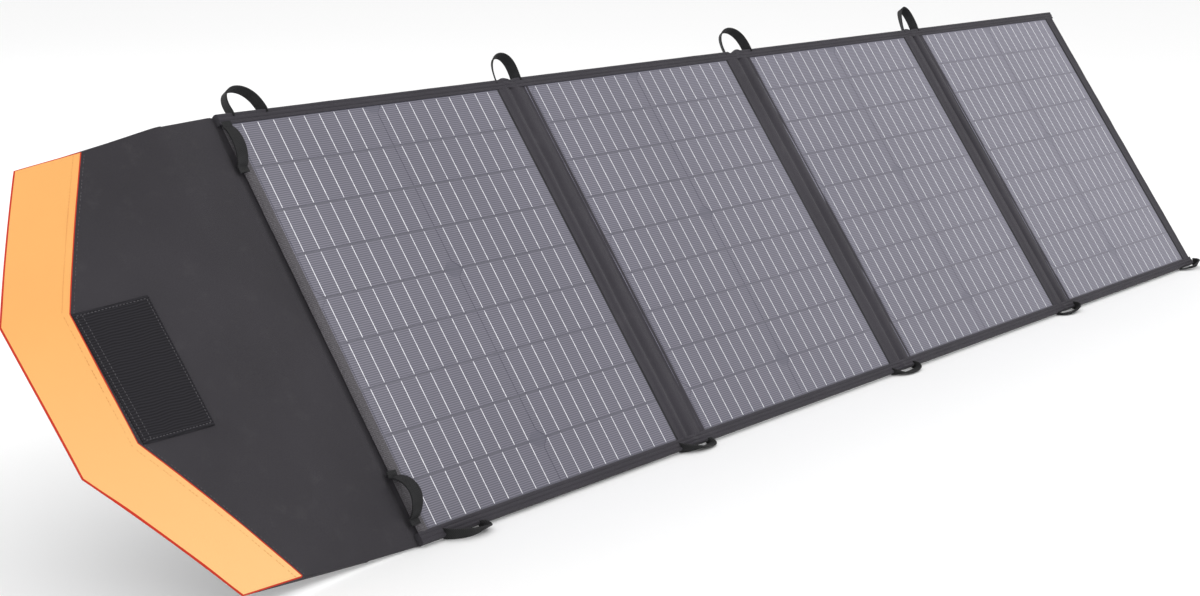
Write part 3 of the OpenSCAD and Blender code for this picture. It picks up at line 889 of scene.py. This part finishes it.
def flap():
    """Gusset, cloth, lining and band, with their piping, hems, hook patch and stitches."""
    ends = (at(-2, MID, FLAP_TOP), at(2 - GUSSET, MID, FLAP_TOP))
    gusset = flap_grid("gusset_cloth", -4.0, OUTER, FLAP_TOP, CLOTH, "flap", 90, 24, GUSSET)
    finish_blend(gusset, ("panel_1", "flap"), ends, "cover_fabric", "gusset")
    lining = flap_grid("gusset_lining", -1.5, OUTER, 1.4, 0.8, "back", 90, 20, GUSSET)
    finish_blend(lining, ("panel_1", "flap"), ends, "cover_fabric")

    cloth = flap_grid("flap_cloth", GUSSET, INNER, FLAP_TOP, CLOTH, "flap")
    finish_flap(cloth, "cover_fabric", "flap_front", "flap_board")
    lining = flap_grid("flap_lining", GUSSET, OUTER, 1.9, 1.6, "back")
    finish_flap(lining, "cover_fabric", "flap_back")
    band = band_grid("flap_band_cloth", INNER, OUTER, FLAP_TOP + 0.1, CLOTH, "orange")
    finish_flap(band, "band_fabric", "flap_band")

    rim = [INNER[0], *OUTER, INNER[3]]
    piping = tube("flap_piping_cord", flap_route(rim, FLAP_TOP - 1.0), 1.1, "piping")
    finish_flap(piping, "piping", "flap_piping")
    trim = tube("band_trim", flap_route(INNER, FLAP_TOP + 0.1), 0.5, "piping", 6)
    finish_flap(trim, "piping")
    for end, sign, corner in (("top", 1, INNER[3]), ("low", -1, INNER[0])):
        route = flap_route([(GUSSET, side_of(GUSSET, sign, OUTER)), corner], FLAP_TOP - 1.0)
        finish_flap(tube(f"flap_hem_{end}", route, 1.15, "flap"), "cover_fabric")

    def pile(s, w):
        """Front of the hook patch, combed in rows."""
        comb = 0.1 * math.sin(2 * math.pi * (w + 1.4 * wander(s * 0.05, w * 0.1, 0)) / 3.4)
        return FLAP_TOP + 1.0 + comb + ripple(s, w, 0.3, 0.05)

    rows = [[(s, w) for s in steps(PATCH_FAR, PATCH_NEAR, 24)] for w in steps(-PATCH_HALF, PATCH_HALF, 180)]
    finish_flap(flap_skin("hook_patch", rows, pile, 1.1, "hook"), "hook_tape", "flap_patch")

    def sew(name, paths, n, thread, slot):
        runs = [(flap_route(path, n, 12), FLAP_NORMAL) for path in paths]
        finish_flap(stitch_mesh(name, runs, thread), slot)

    def inside(distance):
        """The band's inner line moved towards the tip."""
        return [(s + distance * 1.1, w) if abs(w) > 100 else
                (s + distance, w + distance * 0.35 * (1 if w > 0 else -1)) for s, w in INNER]

    inset, second_seam = 2.4, 5.6
    far, near, half = PATCH_FAR - inset, PATCH_NEAR + inset, PATCH_HALF - inset
    box = [(far, -half), (far, half), (near, half), (near, -half), (far, -half)]
    second = [(far - second_seam, -half), (far - second_seam, half)]
    sew("patch_stitches", (box, second), FLAP_TOP + 1.2, "thread", "hook_tape")
    sew("band_stitches", (inside(6.0),), FLAP_TOP + 0.2, "pale_thread", "band_fabric")
    sew("cloth_stitches", (inside(-3.0),), FLAP_TOP + 0.1, "thread", "cover_fabric")


# ---------------------------------------------------------------- loops

WEBBING_W = 11.0
WEBBING_T = 1.5
FLOOR_SKIN = 0.0002
LOOP_FOOT = 4.0

# Shift along the row, half width, height, lean, turn of the strap at its left and right foot, and point
TOP_SHAPES = {
    1: (1.5, 18.5, 22.5, -5.0, -12.0, 14.0, 0.75),
    2: (4.5, 15.0, 26.5, 4.5, -50.0, 30.0, 0.7),
    3: (8.5, 22.5, 27.0, 1.0, -48.0, 20.0, 0.8),
    4: (-1.0, 14.0, 30.0, 8.0, -48.0, 36.0, 1.15),
}


def top_loop(i):
    """Loop standing on the top edge; the first rides its panel, the others ride no body."""
    middle = halves(*span(f"loop_top_{i}"))[0]
    shift, half, tall, lean, turn_left, turn_right, point = TOP_SHAPES[i]
    centre, n = middle[0] + shift, middle[2]
    path = [(centre - half, -LOOP_FOOT), (centre - half, -1.0)]
    for j in range(37):
        angle = math.pi * (1 - j / 36)
        rise = math.sin(angle) ** point
        path.append((centre + half * math.cos(angle) + lean * rise, tall * rise))
    path += [(centre + half, -1.0), (centre + half, -LOOP_FOOT)]
    centres, sides = [], []
    for j, (u, rise) in enumerate(path):
        share = j / (len(path) - 1)
        centres.append(at(u, HEIGHT + rise, n + 1.5 * math.sin(math.pi * share)))
        turn = math.radians(turn_left + (turn_right - turn_left) * smooth(share))
        sides.append(OUT * math.cos(turn) + ALONG * math.sin(turn))
    loop = sweep(f"webbing_top_{i}", centres, sides, WEBBING_W, WEBBING_T, "webbing")
    owner = max(1, i - 1)
    if i > 1:
        bodies = (f"panel_{owner}", f"panel_{owner + 1}")
        finish_blend(loop, bodies, fold_ends(owner), "webbing", f"loop_top_{i}")
    else:
        finish_piece(loop, f"panel_{owner}", "webbing", f"loop_top_{i}")
        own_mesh(loop)


# How far each low loop reaches out, as a share of its flat reach
LOW_DEPTHS = {1: 0.6, 2: 0.42, 3: 0.42, 4: 0.42, 5: 0.45}
# How far a low loop is moved along the row
CORNER_SHIFT = {5: -9.0}


def low_loop(i):
    """Loop pressed on the floor in front of the bottom edge, half on its side."""
    lo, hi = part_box(f"loop_low_{i}")
    centre = (lo.x + hi.x) / 2 + CORNER_SHIFT.get(i, 0.0) * MM
    half = (hi.x - lo.x) / 2 - 1.0 * MM
    depth = (hi.y - lo.y) * LOW_DEPTHS[i]
    width = 10.0
    centres, sides = [], []
    count = 40
    for j in range(count + 1):
        share = j / count
        angle = math.pi * (1 - share)
        x = centre + math.cos(angle) * half * (1 + 0.1 * math.sin(2 * angle))
        y = hi.y + 4 * MM - (math.sin(angle) ** 0.7) * depth * (0.85 + 0.25 * share)
        roll = math.radians(38 + 30 * math.sin(3.2 * share + i))
        side = Vector((0, -math.cos(roll), math.sin(roll)))
        rise = abs(side.z) * width * MM / 2 + 1.0 * MM
        centres.append(Vector((x, y, rise)))
        sides.append(side)
    loop = sweep(f"webbing_low_{i}", centres, sides, width, WEBBING_T, "webbing")
    for vertex in loop.data.vertices:
        vertex.co.z = max(vertex.co.z, FLOOR_SKIN)
    finish_piece(loop, f"panel_{max(1, i - 1)}", "webbing", f"loop_low_{i}")
    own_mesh(loop)


# How far each seam loop stands out, and its distance from the flap seam at both ends
SEAM_RISES = {"top": 5.0, "low": 14.5}
SEAM_AT = {"top": (6.5, 1.5), "low": (2.5, 2.5)}


def seam_loop(end):
    """Loop sewn down at both ends beside the flap seam."""
    node = f"loop_seam_{end}"
    lo, hi = span(node)
    v0, v1 = lo[1] + 3, hi[1] - 3
    high_u, low_u = SEAM_AT[end]
    centres, sides = [], []
    count = 30
    for j in range(-3, count + 4):
        share = min(max(j / count, 0.0), 1.0)
        beyond = (j - share * count) * 2.0
        v = v0 + (v1 - v0) * share + beyond
        rise = SEAM_RISES[end] * math.sin(math.pi * share) ** 0.6
        u = low_u + (high_u - low_u) * share + 1.5 * math.sin(math.pi * share)
        centres.append(at(u, v, FRONT - 0.4 + rise))
        turn = math.radians(14 * math.sin(math.pi * share))
        sides.append(ALONG * math.cos(turn) + OUT * math.sin(turn))
    loop = sweep(f"webbing_seam_{end}", centres, sides, WEBBING_W, WEBBING_T, "webbing")
    finish_piece(loop, "panel_1", "webbing", node)
    tuple(at(0, v0, FRONT))
    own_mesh(loop)


# ---------------------------------------------------------------- backs

def back_cloth(k):
    """Back fabric, slightly puffed over the board, with a stitched hem."""
    lo, hi = span(f"cover_{k}")
    u0, u1 = lo[0] + 0.6, hi[0] - 0.6

    def depth(u, v):
        inside = min(u - u0, u1 - u, v - 3, HEIGHT - 3 - v)
        return 0.55 * smooth(inside / 26) + 0.3 * abs(wander(u * 0.012, v * 0.012, k * 5.0))

    rows = [[(u, v, 0.35 - depth(u, v)) for u in steps(u1, u0, 56)] for v in steps(3, HEIGHT - 3, 56)]
    cover = thick_grid(f"back_cloth_{k}", rows, 0.6, "back")
    finish_piece(cover, f"panel_{k}", "cover_fabric", f"cover_{k}")
    inset = 8.0
    hem = rectangle(u0 + inset, inset, u1 - inset, HEIGHT - inset, 0.1)
    stitches = stitch_mesh(f"back_stitches_{k}", [(hem, -OUT)], "thread", 4.5, 3.0, 0.45)
    finish_piece(stitches, f"panel_{k}", "cover_fabric")


def swing_frame(k):
    """Leg body, its hinge point, the ways down it and out of its outer face at rest, and its length."""
    side = "left" if k == 1 else "right"
    leg = joint(f"leg_{side}_fold")
    hinge = Vector(leg["pos_m"])
    foot = sum(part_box(f"leg_foot_{k}"), Vector()) / 2
    foot.x = hinge.x
    down = foot - hinge
    length = down.length / MM
    down.normalize()
    return f"leg_{side}", hinge, down, ALONG.cross(down), length


LEG_W, LEG_FOOT_W = 140.0, 110.0
SHOE_RADIUS = 2.5


def leg(k):
    """Padded leg with its hem, shoe and hinge tape; returns its own coordinates and its body."""
    body, hinge, down, outward, length = swing_frame(k)

    def place(x, y, z):
        return hinge + (ALONG * x + down * y + outward * z) * MM

    points, flats, index = [], [], {}
    columns, rows = 28, 60
    for face, sign in (("outer", 1), ("inner", -1)):
        for j in range(rows + 1):
            y = 2 + (length - 4) * j / rows
            half = (LEG_W + (LEG_FOOT_W - LEG_W) * y / length) / 2
            for i in range(columns + 1):
                share = 2 * i / columns - 1
                inside = min(half * (1 - abs(share)), y - 2, length - 2 - y)
                puff = 0.6 + 0.9 * smooth(inside / 9)
                index[face, j, i] = len(points)
                points.append(place(half * share, y, sign * puff))
                flats.append((half * share * MM, y * MM, sign * puff * MM))
    faces = layers(index, "outer", "inner", rows, columns)
    ring = [(0, i) for i in range(columns)] + [(j, columns) for j in range(rows)]
    ring += [(rows, i) for i in range(columns, 0, -1)] + [(j, 0) for j in range(rows, 0, -1)]
    for a, b in zip(ring, ring[1:] + ring[:1]):
        faces.append([index[(layer, *spot)] for layer, spot in
                      (("inner", a), ("inner", b), ("outer", b), ("outer", a))])
    piece = make_piece(f"leg_cloth_{k}", points, faces, flats, "back")
    finish_piece(piece, body, "cover_fabric", f"leg_{k}")

    half, foot = LEG_W / 2 - 6, LEG_FOOT_W / 2 - 6
    route = [place(x, y, 1.4) for x, y in ((-half, 8), (half, 8), (foot, length - 9), (-foot, length - 9),
                                           (-half, 8))]
    runs = [(route, outward), ([p - outward * 2.8 * MM for p in route], -outward)]
    finish_piece(stitch_mesh(f"leg_stitches_{k}", runs, "thread", 4.5, 3.0, 0.4), body, "cover_fabric")

    foot_half = LEG_FOOT_W / 2 - 0.5
    centres = [place(x, length, 0) for x in steps(-foot_half, foot_half, 24)]
    finish_piece(tube(f"leg_shoe_{k}", centres, SHOE_RADIUS, "rubber", 20), body, "rubber", f"leg_foot_{k}")

    tape_lo, tape_hi = span(f"leg_tape_{k}")
    middle = (tape_lo[0] + tape_hi[0]) / 2
    sewn_v = panel_point(hinge)[1] + 3
    start, end = at(middle, sewn_v, -1.0), place(0, 14, 1.6)
    end.x = start.x
    flat_share = 0.6
    centres = []
    for t in steps(0, 1, 17):
        if t < flat_share:
            centres.append(at(middle, tape_hi[1] + (sewn_v - tape_hi[1]) * t / flat_share, -1.0))
        else:
            share = (t - flat_share) / 0.4
            centres.append(start.lerp(end, share) - OUT * 2.2 * MM * math.sin(math.pi * share))
    tape = sweep(f"leg_hinge_tape_{k}", centres, [ALONG] * len(centres), LEG_W - 2, 0.9, "webbing")
    finish_blend(tape, (f"panel_{k}", body), (start, place(0, 10, 0)), "webbing", f"leg_tape_{k}")
    return place, body


# Distance down the leg where its stay is sewn on, and the strap's width and sag
STAY_AT = 240
STAY_W = 19.0
STAY_SAG = 4


def stay_strap(k, place, body):
    """Webbing strap from the panel's back to a tab on the leg."""
    lo, hi = span(f"stay_{k}")
    middle, start_v = (lo[0] + hi[0]) / 2, lo[1]
    start = at(middle, start_v, -0.9)
    finish_at = place(0, STAY_AT, -1.9)
    finish_at.x = start.x
    centres = [at(middle, start_v - 26, -1.2), at(middle, start_v - 14, -1.2), at(middle, start_v - 4, -1.3)]
    direction = finish_at - start
    for i in range(1, 24):
        t = i / 24
        sag = Vector((0, 0, -1)) * STAY_SAG * MM * math.sin(math.pi * t)
        centres.append(start + direction * t + sag)
    tab = [place(0, STAY_AT + d, -2.2) for d in (0, 4, 12, 26)]
    centres.append(tab[0])
    for centre in (*centres, *tab):
        centre.x = start.x
    strap = sweep(f"stay_strap_{k}", centres, [ALONG] * len(centres), STAY_W, 1.4, "webbing")
    finish_piece(strap, f"panel_{k}", "webbing", f"stay_{k}")
    tuple(at(middle, start_v, -1.0))
    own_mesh(strap)
    sewn = sweep(f"stay_tab_{k}", tab, [ALONG] * len(tab), STAY_W - 0.4, 0.6, "webbing")
    finish_piece(sewn, body, "webbing")
    runs = [([at(middle + x, start_v + y, -1.9) for x in (-7, 7)], -OUT) for y in (-23, -13)]
    finish_piece(stitch_mesh(f"stay_stitches_{k}", runs, "thread", 2.6, 1.9, 0.35), f"panel_{k}", "webbing")


def mate_patch():
    """Loop pile patch on the last panel's back, with its stitches."""
    lo, hi = span("patch_mate")
    rows = [[(u, v, lo[2] + 0.15 + 0.18 * wander(u * 0.25, v * 0.5, 2.0)) for u in steps(hi[0], lo[0], 60)]
            for v in steps(lo[1], hi[1], 150)]
    finish_piece(thick_grid("loop_patch_pile", rows, -1.0, "hook"), "panel_4", "hook_tape", "patch_mate")
    inset = 3.0
    seam = rectangle(lo[0] + inset, lo[1] + inset, hi[0] - inset, hi[1] - inset, lo[2] - 0.1)
    finish_piece(stitch_mesh("loop_patch_stitches", [(seam, -OUT)], "thread"), "panel_4", "hook_tape")


# ---------------------------------------------------------------- pocket and controller


def superellipse(angle, a, b, power):
    """Point of a rounded rectangle of half sizes a and b; a higher power has tighter corners."""
    c, s = math.cos(angle), math.sin(angle)
    return a * math.copysign(abs(c) ** (2 / power), c), b * math.copysign(abs(s) ** (2 / power), s)


def rim(name, centre, half_w, half_h, power, count, n, radius, material):
    """Cord around a rounded rectangle on the back."""
    route = [superellipse(2 * math.pi * j / count, half_w, half_h, power) for j in range(count + 1)]
    cord = tube(name, [at(centre[0] + x, centre[1] + y, n) for x, y in route], radius, material)
    finish_piece(cord, "panel_1", material)


def dome(name, centre, half_w, half_h, levels, power, material, ring=96):
    """Rounded box growing out of the back; levels are (n, shrink in mm) from its foot to its middle."""
    points, flats = [], []
    u0, v0 = centre
    for n, inset in levels:
        for j in range(ring):
            x, y = superellipse(2 * math.pi * j / ring, half_w - inset, half_h - inset, power)
            points.append(at(u0 + x, v0 + y, n))
            flats.append(((u0 + x) * MM, (v0 + y) * MM, n * MM))
    return make_piece(name, points, skin(len(levels), ring, turned=True), flats, material)


SIM_FRAMES = 20
# Furthest that the simulation may move the pocket's cloth
POCKET_SWELL = 5.0
# The pocket's cloth stays at least this far behind the panel's back plane
POCKET_CLEAR = 0.1


def apply_modifiers(obj):
    """Keeps the mesh that the modifiers make, and removes them."""
    done = bpy.data.meshes.new_from_object(obj.evaluated_get(bpy.context.evaluated_depsgraph_get()))
    obj.modifiers.clear()
    obj.data = done


def swell(obj, sewn, material):
    """Fills a bag with air by cloth simulation; sewn(u, v, n) holds a point in place."""
    even = obj.modifiers.new("even", "REMESH")
    even.mode = "VOXEL"
    even.voxel_size = 4.0 * MM
    apply_modifiers(obj)
    scene = bpy.context.scene
    rest = [v.co.copy() for v in obj.data.vertices]
    held = obj.vertex_groups.new(name="sewn")
    held.add([i for i, p in enumerate(rest) if sewn(*panel_point(p))], 1.0, "REPLACE")
    cloth = obj.modifiers.new("cloth", "CLOTH")
    cloth.settings.vertex_group_mass = "sewn"
    cloth.settings.use_pressure = True
    cloth.settings.uniform_pressure_force = 4.0
    cloth.settings.effector_weights.gravity = 0.0
    cloth.settings.tension_stiffness = 12.0
    cloth.settings.bending_stiffness = 0.4
    for frame_number in range(1, SIM_FRAMES + 1):
        scene.frame_set(frame_number)
    blown = obj.evaluated_get(bpy.context.evaluated_depsgraph_get()).data
    moves = [v.co - p for v, p in zip(blown.vertices, rest)]
    obj.modifiers.clear()
    scene.frame_set(1)
    limit = POCKET_SWELL * MM
    for vertex, p, move in zip(obj.data.vertices, rest, moves):
        vertex.co = p + (move if move.length <= limit else move * (limit / move.length))
    finer = obj.modifiers.new("finer", "SUBSURF")
    finer.levels = 1
    apply_modifiers(obj)
    mesh = obj.data
    flat = mesh.attributes.get("flat") or mesh.attributes.new("flat", "FLOAT_VECTOR", "POINT")
    for vertex, item in zip(mesh.vertices, flat.data):
        place = [(vertex.co - ORIGIN).dot(axis) for axis in (ALONG, UP, OUT)]
        if place[2] > -POCKET_CLEAR * MM:
            vertex.co -= OUT * (place[2] + POCKET_CLEAR * MM)
        item.vector = place
    mesh.materials.clear()
    mesh.materials.append(MAT[material])
    mesh.shade_smooth()


def pocket():
    """Soft pocket on the first panel's back, with piping around it."""
    lo, hi = span("pocket")
    (u, v, _), (half_w, half_h, _) = halves(lo, hi)
    deep = lo[2]
    shape = ((0.2, 0.6), (0.42, 2.2), (0.5, 1.2), (0.72, 0.8), (0.88, 2.2), (0.97, 5.0), (1.0, 9.0))
    levels = [(0.2, 0.0), *((deep * share, inset) for share, inset in shape)]
    levels += [(deep * (1.0 + 0.05 * smooth(k / 6)), 9.0 + k * (half_w - 12) / 7) for k in range(1, 8)]
    bag = dome("pocket_bag", (u, v), half_w - 1.0, half_h - 1.0, levels, 7, "back")
    zip_v = halves(*span("zip_tape"))[0][1]

    def sewn(x, y, n):
        edge = max(abs(x - u) - half_w, abs(y - v) - half_h)
        return n > -2.0 or (n < deep * 0.8 and (abs(y - zip_v) < 9.0 or -7.5 < edge < -2.0))

    swell(bag, sewn, "back")
    finish_piece(bag, "panel_1", "cover_fabric", "pocket")
    rim("pocket_piping", (u, v), half_w - 4.4, half_h - 4.4, 7, 120, deep * 0.965, 1.4, "webbing")


TOOTH_PITCH = 1.5


def zip_fastener():
    """Tape, teeth, and the slider with its pull."""
    lo, hi = span("zip_tape")
    middle, n = (lo[1] + hi[1]) / 2, lo[2]
    tape = sweep("zip_tape_cloth", [at(u, middle, n + 0.6) for u in steps(lo[0], hi[0], 30)],
                 [UP] * 31, hi[1] - lo[1], 0.9, "webbing")
    finish_piece(tape, "panel_1", "webbing", "zip_tape")

    points, flats, faces = [], [], []
    for i in range(int((hi[0] - lo[0] - 6) / TOOTH_PITCH)):
        u = lo[0] + 3 + i * TOOTH_PITCH
        shift = 0.5 if i % 2 else -0.5
        faces += skin(2, 4, len(points))
        for du in (-0.45, 0.45):
            for dv, dn in ((-1.6, 0), (-1.2, -0.9), (1.2, -0.9), (1.6, 0)):
                points.append(at(u + du, middle + shift + dv, n + 0.3 + dn))
                flats.append((u * MM, dv * MM, 0))
    teeth = make_piece("zip_teeth", points, faces, flats, "black_plastic", smooth=False)
    finish_piece(teeth, "panel_1", "black_plastic")

    u = span("zip_slider")[0][0] + 4.5
    outline = [(-4.2, -3.2), (-4.4, 0), (-4.2, 3.2), (-1.0, 3.9), (2.6, 3.6), (4.2, 1.6), (4.3, -1.6),
               (2.6, -3.6), (-1.0, -3.9)]
    levels = [(n - 0.6, 0.9), (n - 0.9, 1.0), (n - 2.6, 1.0), (n - 3.1, 0.86), (n - 3.2, 0.5)]
    points = [at(u + x * size, middle + y * size, level) for level, size in levels for x, y in outline]
    flats = [((u + x) * MM, (middle + y) * MM, level * MM) for level, size in levels for x, y in outline]
    slider = make_piece("zip_slider_body", points, skin(len(levels), len(outline)), flats, "metal")
    finish_piece(slider, "zip_pull", "metal", "zip_slider")
    centres = [at(u, middle - d, n - 2.4 - 0.3 * math.sin(d / 6)) for d in steps(1, 22, 12)]
    finish_piece(sweep("zip_pull_tab", centres, [ALONG] * 13, 4.6, 1.1, "metal"), "zip_pull", "metal")


RIBS = 5
RIB_PITCH = 9
SCREW_INSET = 8


def controller():
    """Finish of the CAD controller box, with a rim, screws, ribs and a lamp on its lid."""
    (u, v, _), (half_w, half_h, _) = halves(*span("box_base"))
    for node in ("box_base", "socket", "button", "box_lid"):
        dress(node, "cad_plastic")
    dress("usb_port", "cad_metal")
    deep = span("box_lid")[0][2]
    rim("lid_rim", (u, v), half_w - 1.4, half_h - 1.4, 11, 140, deep + 0.6, 1.2, "black_plastic")
    head = [(deep + 0.1, 0.0), (deep - 0.5, 0.1), (deep - 0.9, 0.5), (deep - 1.1, 1.4)]
    for j, (sx, sy) in enumerate(((-1, -1), (1, -1), (1, 1), (-1, 1))):
        place = (u + sx * (half_w - SCREW_INSET), v + sy * (half_h - SCREW_INSET))
        finish_piece(dome(f"lid_screw_{j + 1}", place, 3.0, 3.0, head, 2, "metal", 32), "panel_1", "metal")
    for j in range(RIBS):
        centres = [at(u - 40 + j * RIB_PITCH, v + d, deep - 0.2) for d in steps(-18, 18, 12)]
        rib = sweep(f"lid_rib_{j + 1}", centres, [ALONG] * 13, 3.4, 1.2, "black_plastic")
        finish_piece(rib, "panel_1", "black_plastic")
    lens = [(deep + 0.1, 0.0), (deep - 0.6, 0.2), (deep - 1.0, 0.8), (deep - 1.15, 1.5)]
    lamp = dome("status_lamp", (u + 16, v + 14), 2.2, 2.2, lens, 2, "lens", 32)
    finish_piece(lamp, "panel_1", "black_plastic")


# ---------------------------------------------------------------- studio

CAMERA_AT = Vector((-1.844, -1.293, 0.557))
CAMERA_AZIMUTH = math.radians(51.43)
CAMERA_ELEVATION = math.radians(11.88)
CAMERA_LENS = 62.7
FLOOR_HALF = 14.0


def camera():
    """The photograph's camera."""
    data = bpy.data.cameras.new("camera")
    data.lens = CAMERA_LENS
    data.sensor_width = 36
    data.clip_end = 50
    obj = bpy.data.objects.new("camera", data)
    look = Vector((math.sin(CAMERA_AZIMUTH) * math.cos(CAMERA_ELEVATION),
                   math.cos(CAMERA_AZIMUTH) * math.cos(CAMERA_ELEVATION), -math.sin(CAMERA_ELEVATION)))
    obj.location = CAMERA_AT
    obj.rotation_euler = look.to_track_quat("-Z", "Y").to_euler()
    bpy.context.scene.collection.objects.link(obj)
    bpy.context.scene.camera = obj


def area_light(name, place, target, size, power):
    """Soft lamp that faces a target."""
    data = bpy.data.lights.new(name, "AREA")
    data.shape = "RECTANGLE"
    data.size, data.size_y = size
    data.energy = power
    obj = bpy.data.objects.new(name, data)
    obj.location = place
    obj.rotation_euler = (Vector(target) - Vector(place)).to_track_quat("-Z", "Y").to_euler()
    bpy.context.scene.collection.objects.link(obj)


def studio():
    """Pale floor, white surroundings and three soft lamps."""
    mesh = bpy.data.meshes.new("floor")
    corners = [(x * FLOOR_HALF, y * FLOOR_HALF, 0) for x, y in ((-1, -1), (1, -1), (1, 1), (-1, 1))]
    mesh.from_pydata(corners, [], [(0, 1, 2, 3)])
    floor = bpy.data.objects.new("floor", mesh)
    shader = Shader("pale_floor")
    shader.set(Base_Color=rgb(0.93, 0.93, 0.93), Roughness=0.9)
    mesh.materials.append(shader.material)
    bpy.context.scene.collection.objects.link(floor)
    world = bpy.data.worlds.new("studio")
    world.use_nodes = True
    background = world.node_tree.nodes["Background"].inputs
    background["Color"].default_value = (1, 1, 1, 1)
    background["Strength"].default_value = 1.0
    bpy.context.scene.world = world
    bpy.context.scene.view_settings.view_transform = "Standard"
    area_light("key", (1.2, -2.6, 3.0), (0.2, 0, 0.1), (2.4, 1.6), 30)
    area_light("fill", (-2.4, -2.0, 2.2), (-0.4, 0, 0.1), (2.0, 1.4), 6)
    area_light("back", (-0.8, 2.6, 2.2), (0, 0, 0.1), (2.6, 1.2), 26)


# ---------------------------------------------------------------- build

camera()
studio()
dress_cells()
front_cloth()
for panel in PANELS:
    ribbons(panel)
    edge_shadow_strip(panel)
    back_cloth(panel)
flap()
for number in LOW_DEPTHS:
    if number in TOP_SHAPES:
        top_loop(number)
    low_loop(number)
for which in ("top", "low"):
    seam_loop(which)
for panel in (1, 4):
    stay_strap(panel, *leg(panel))
mate_patch()
pocket()
zip_fastener()
controller()
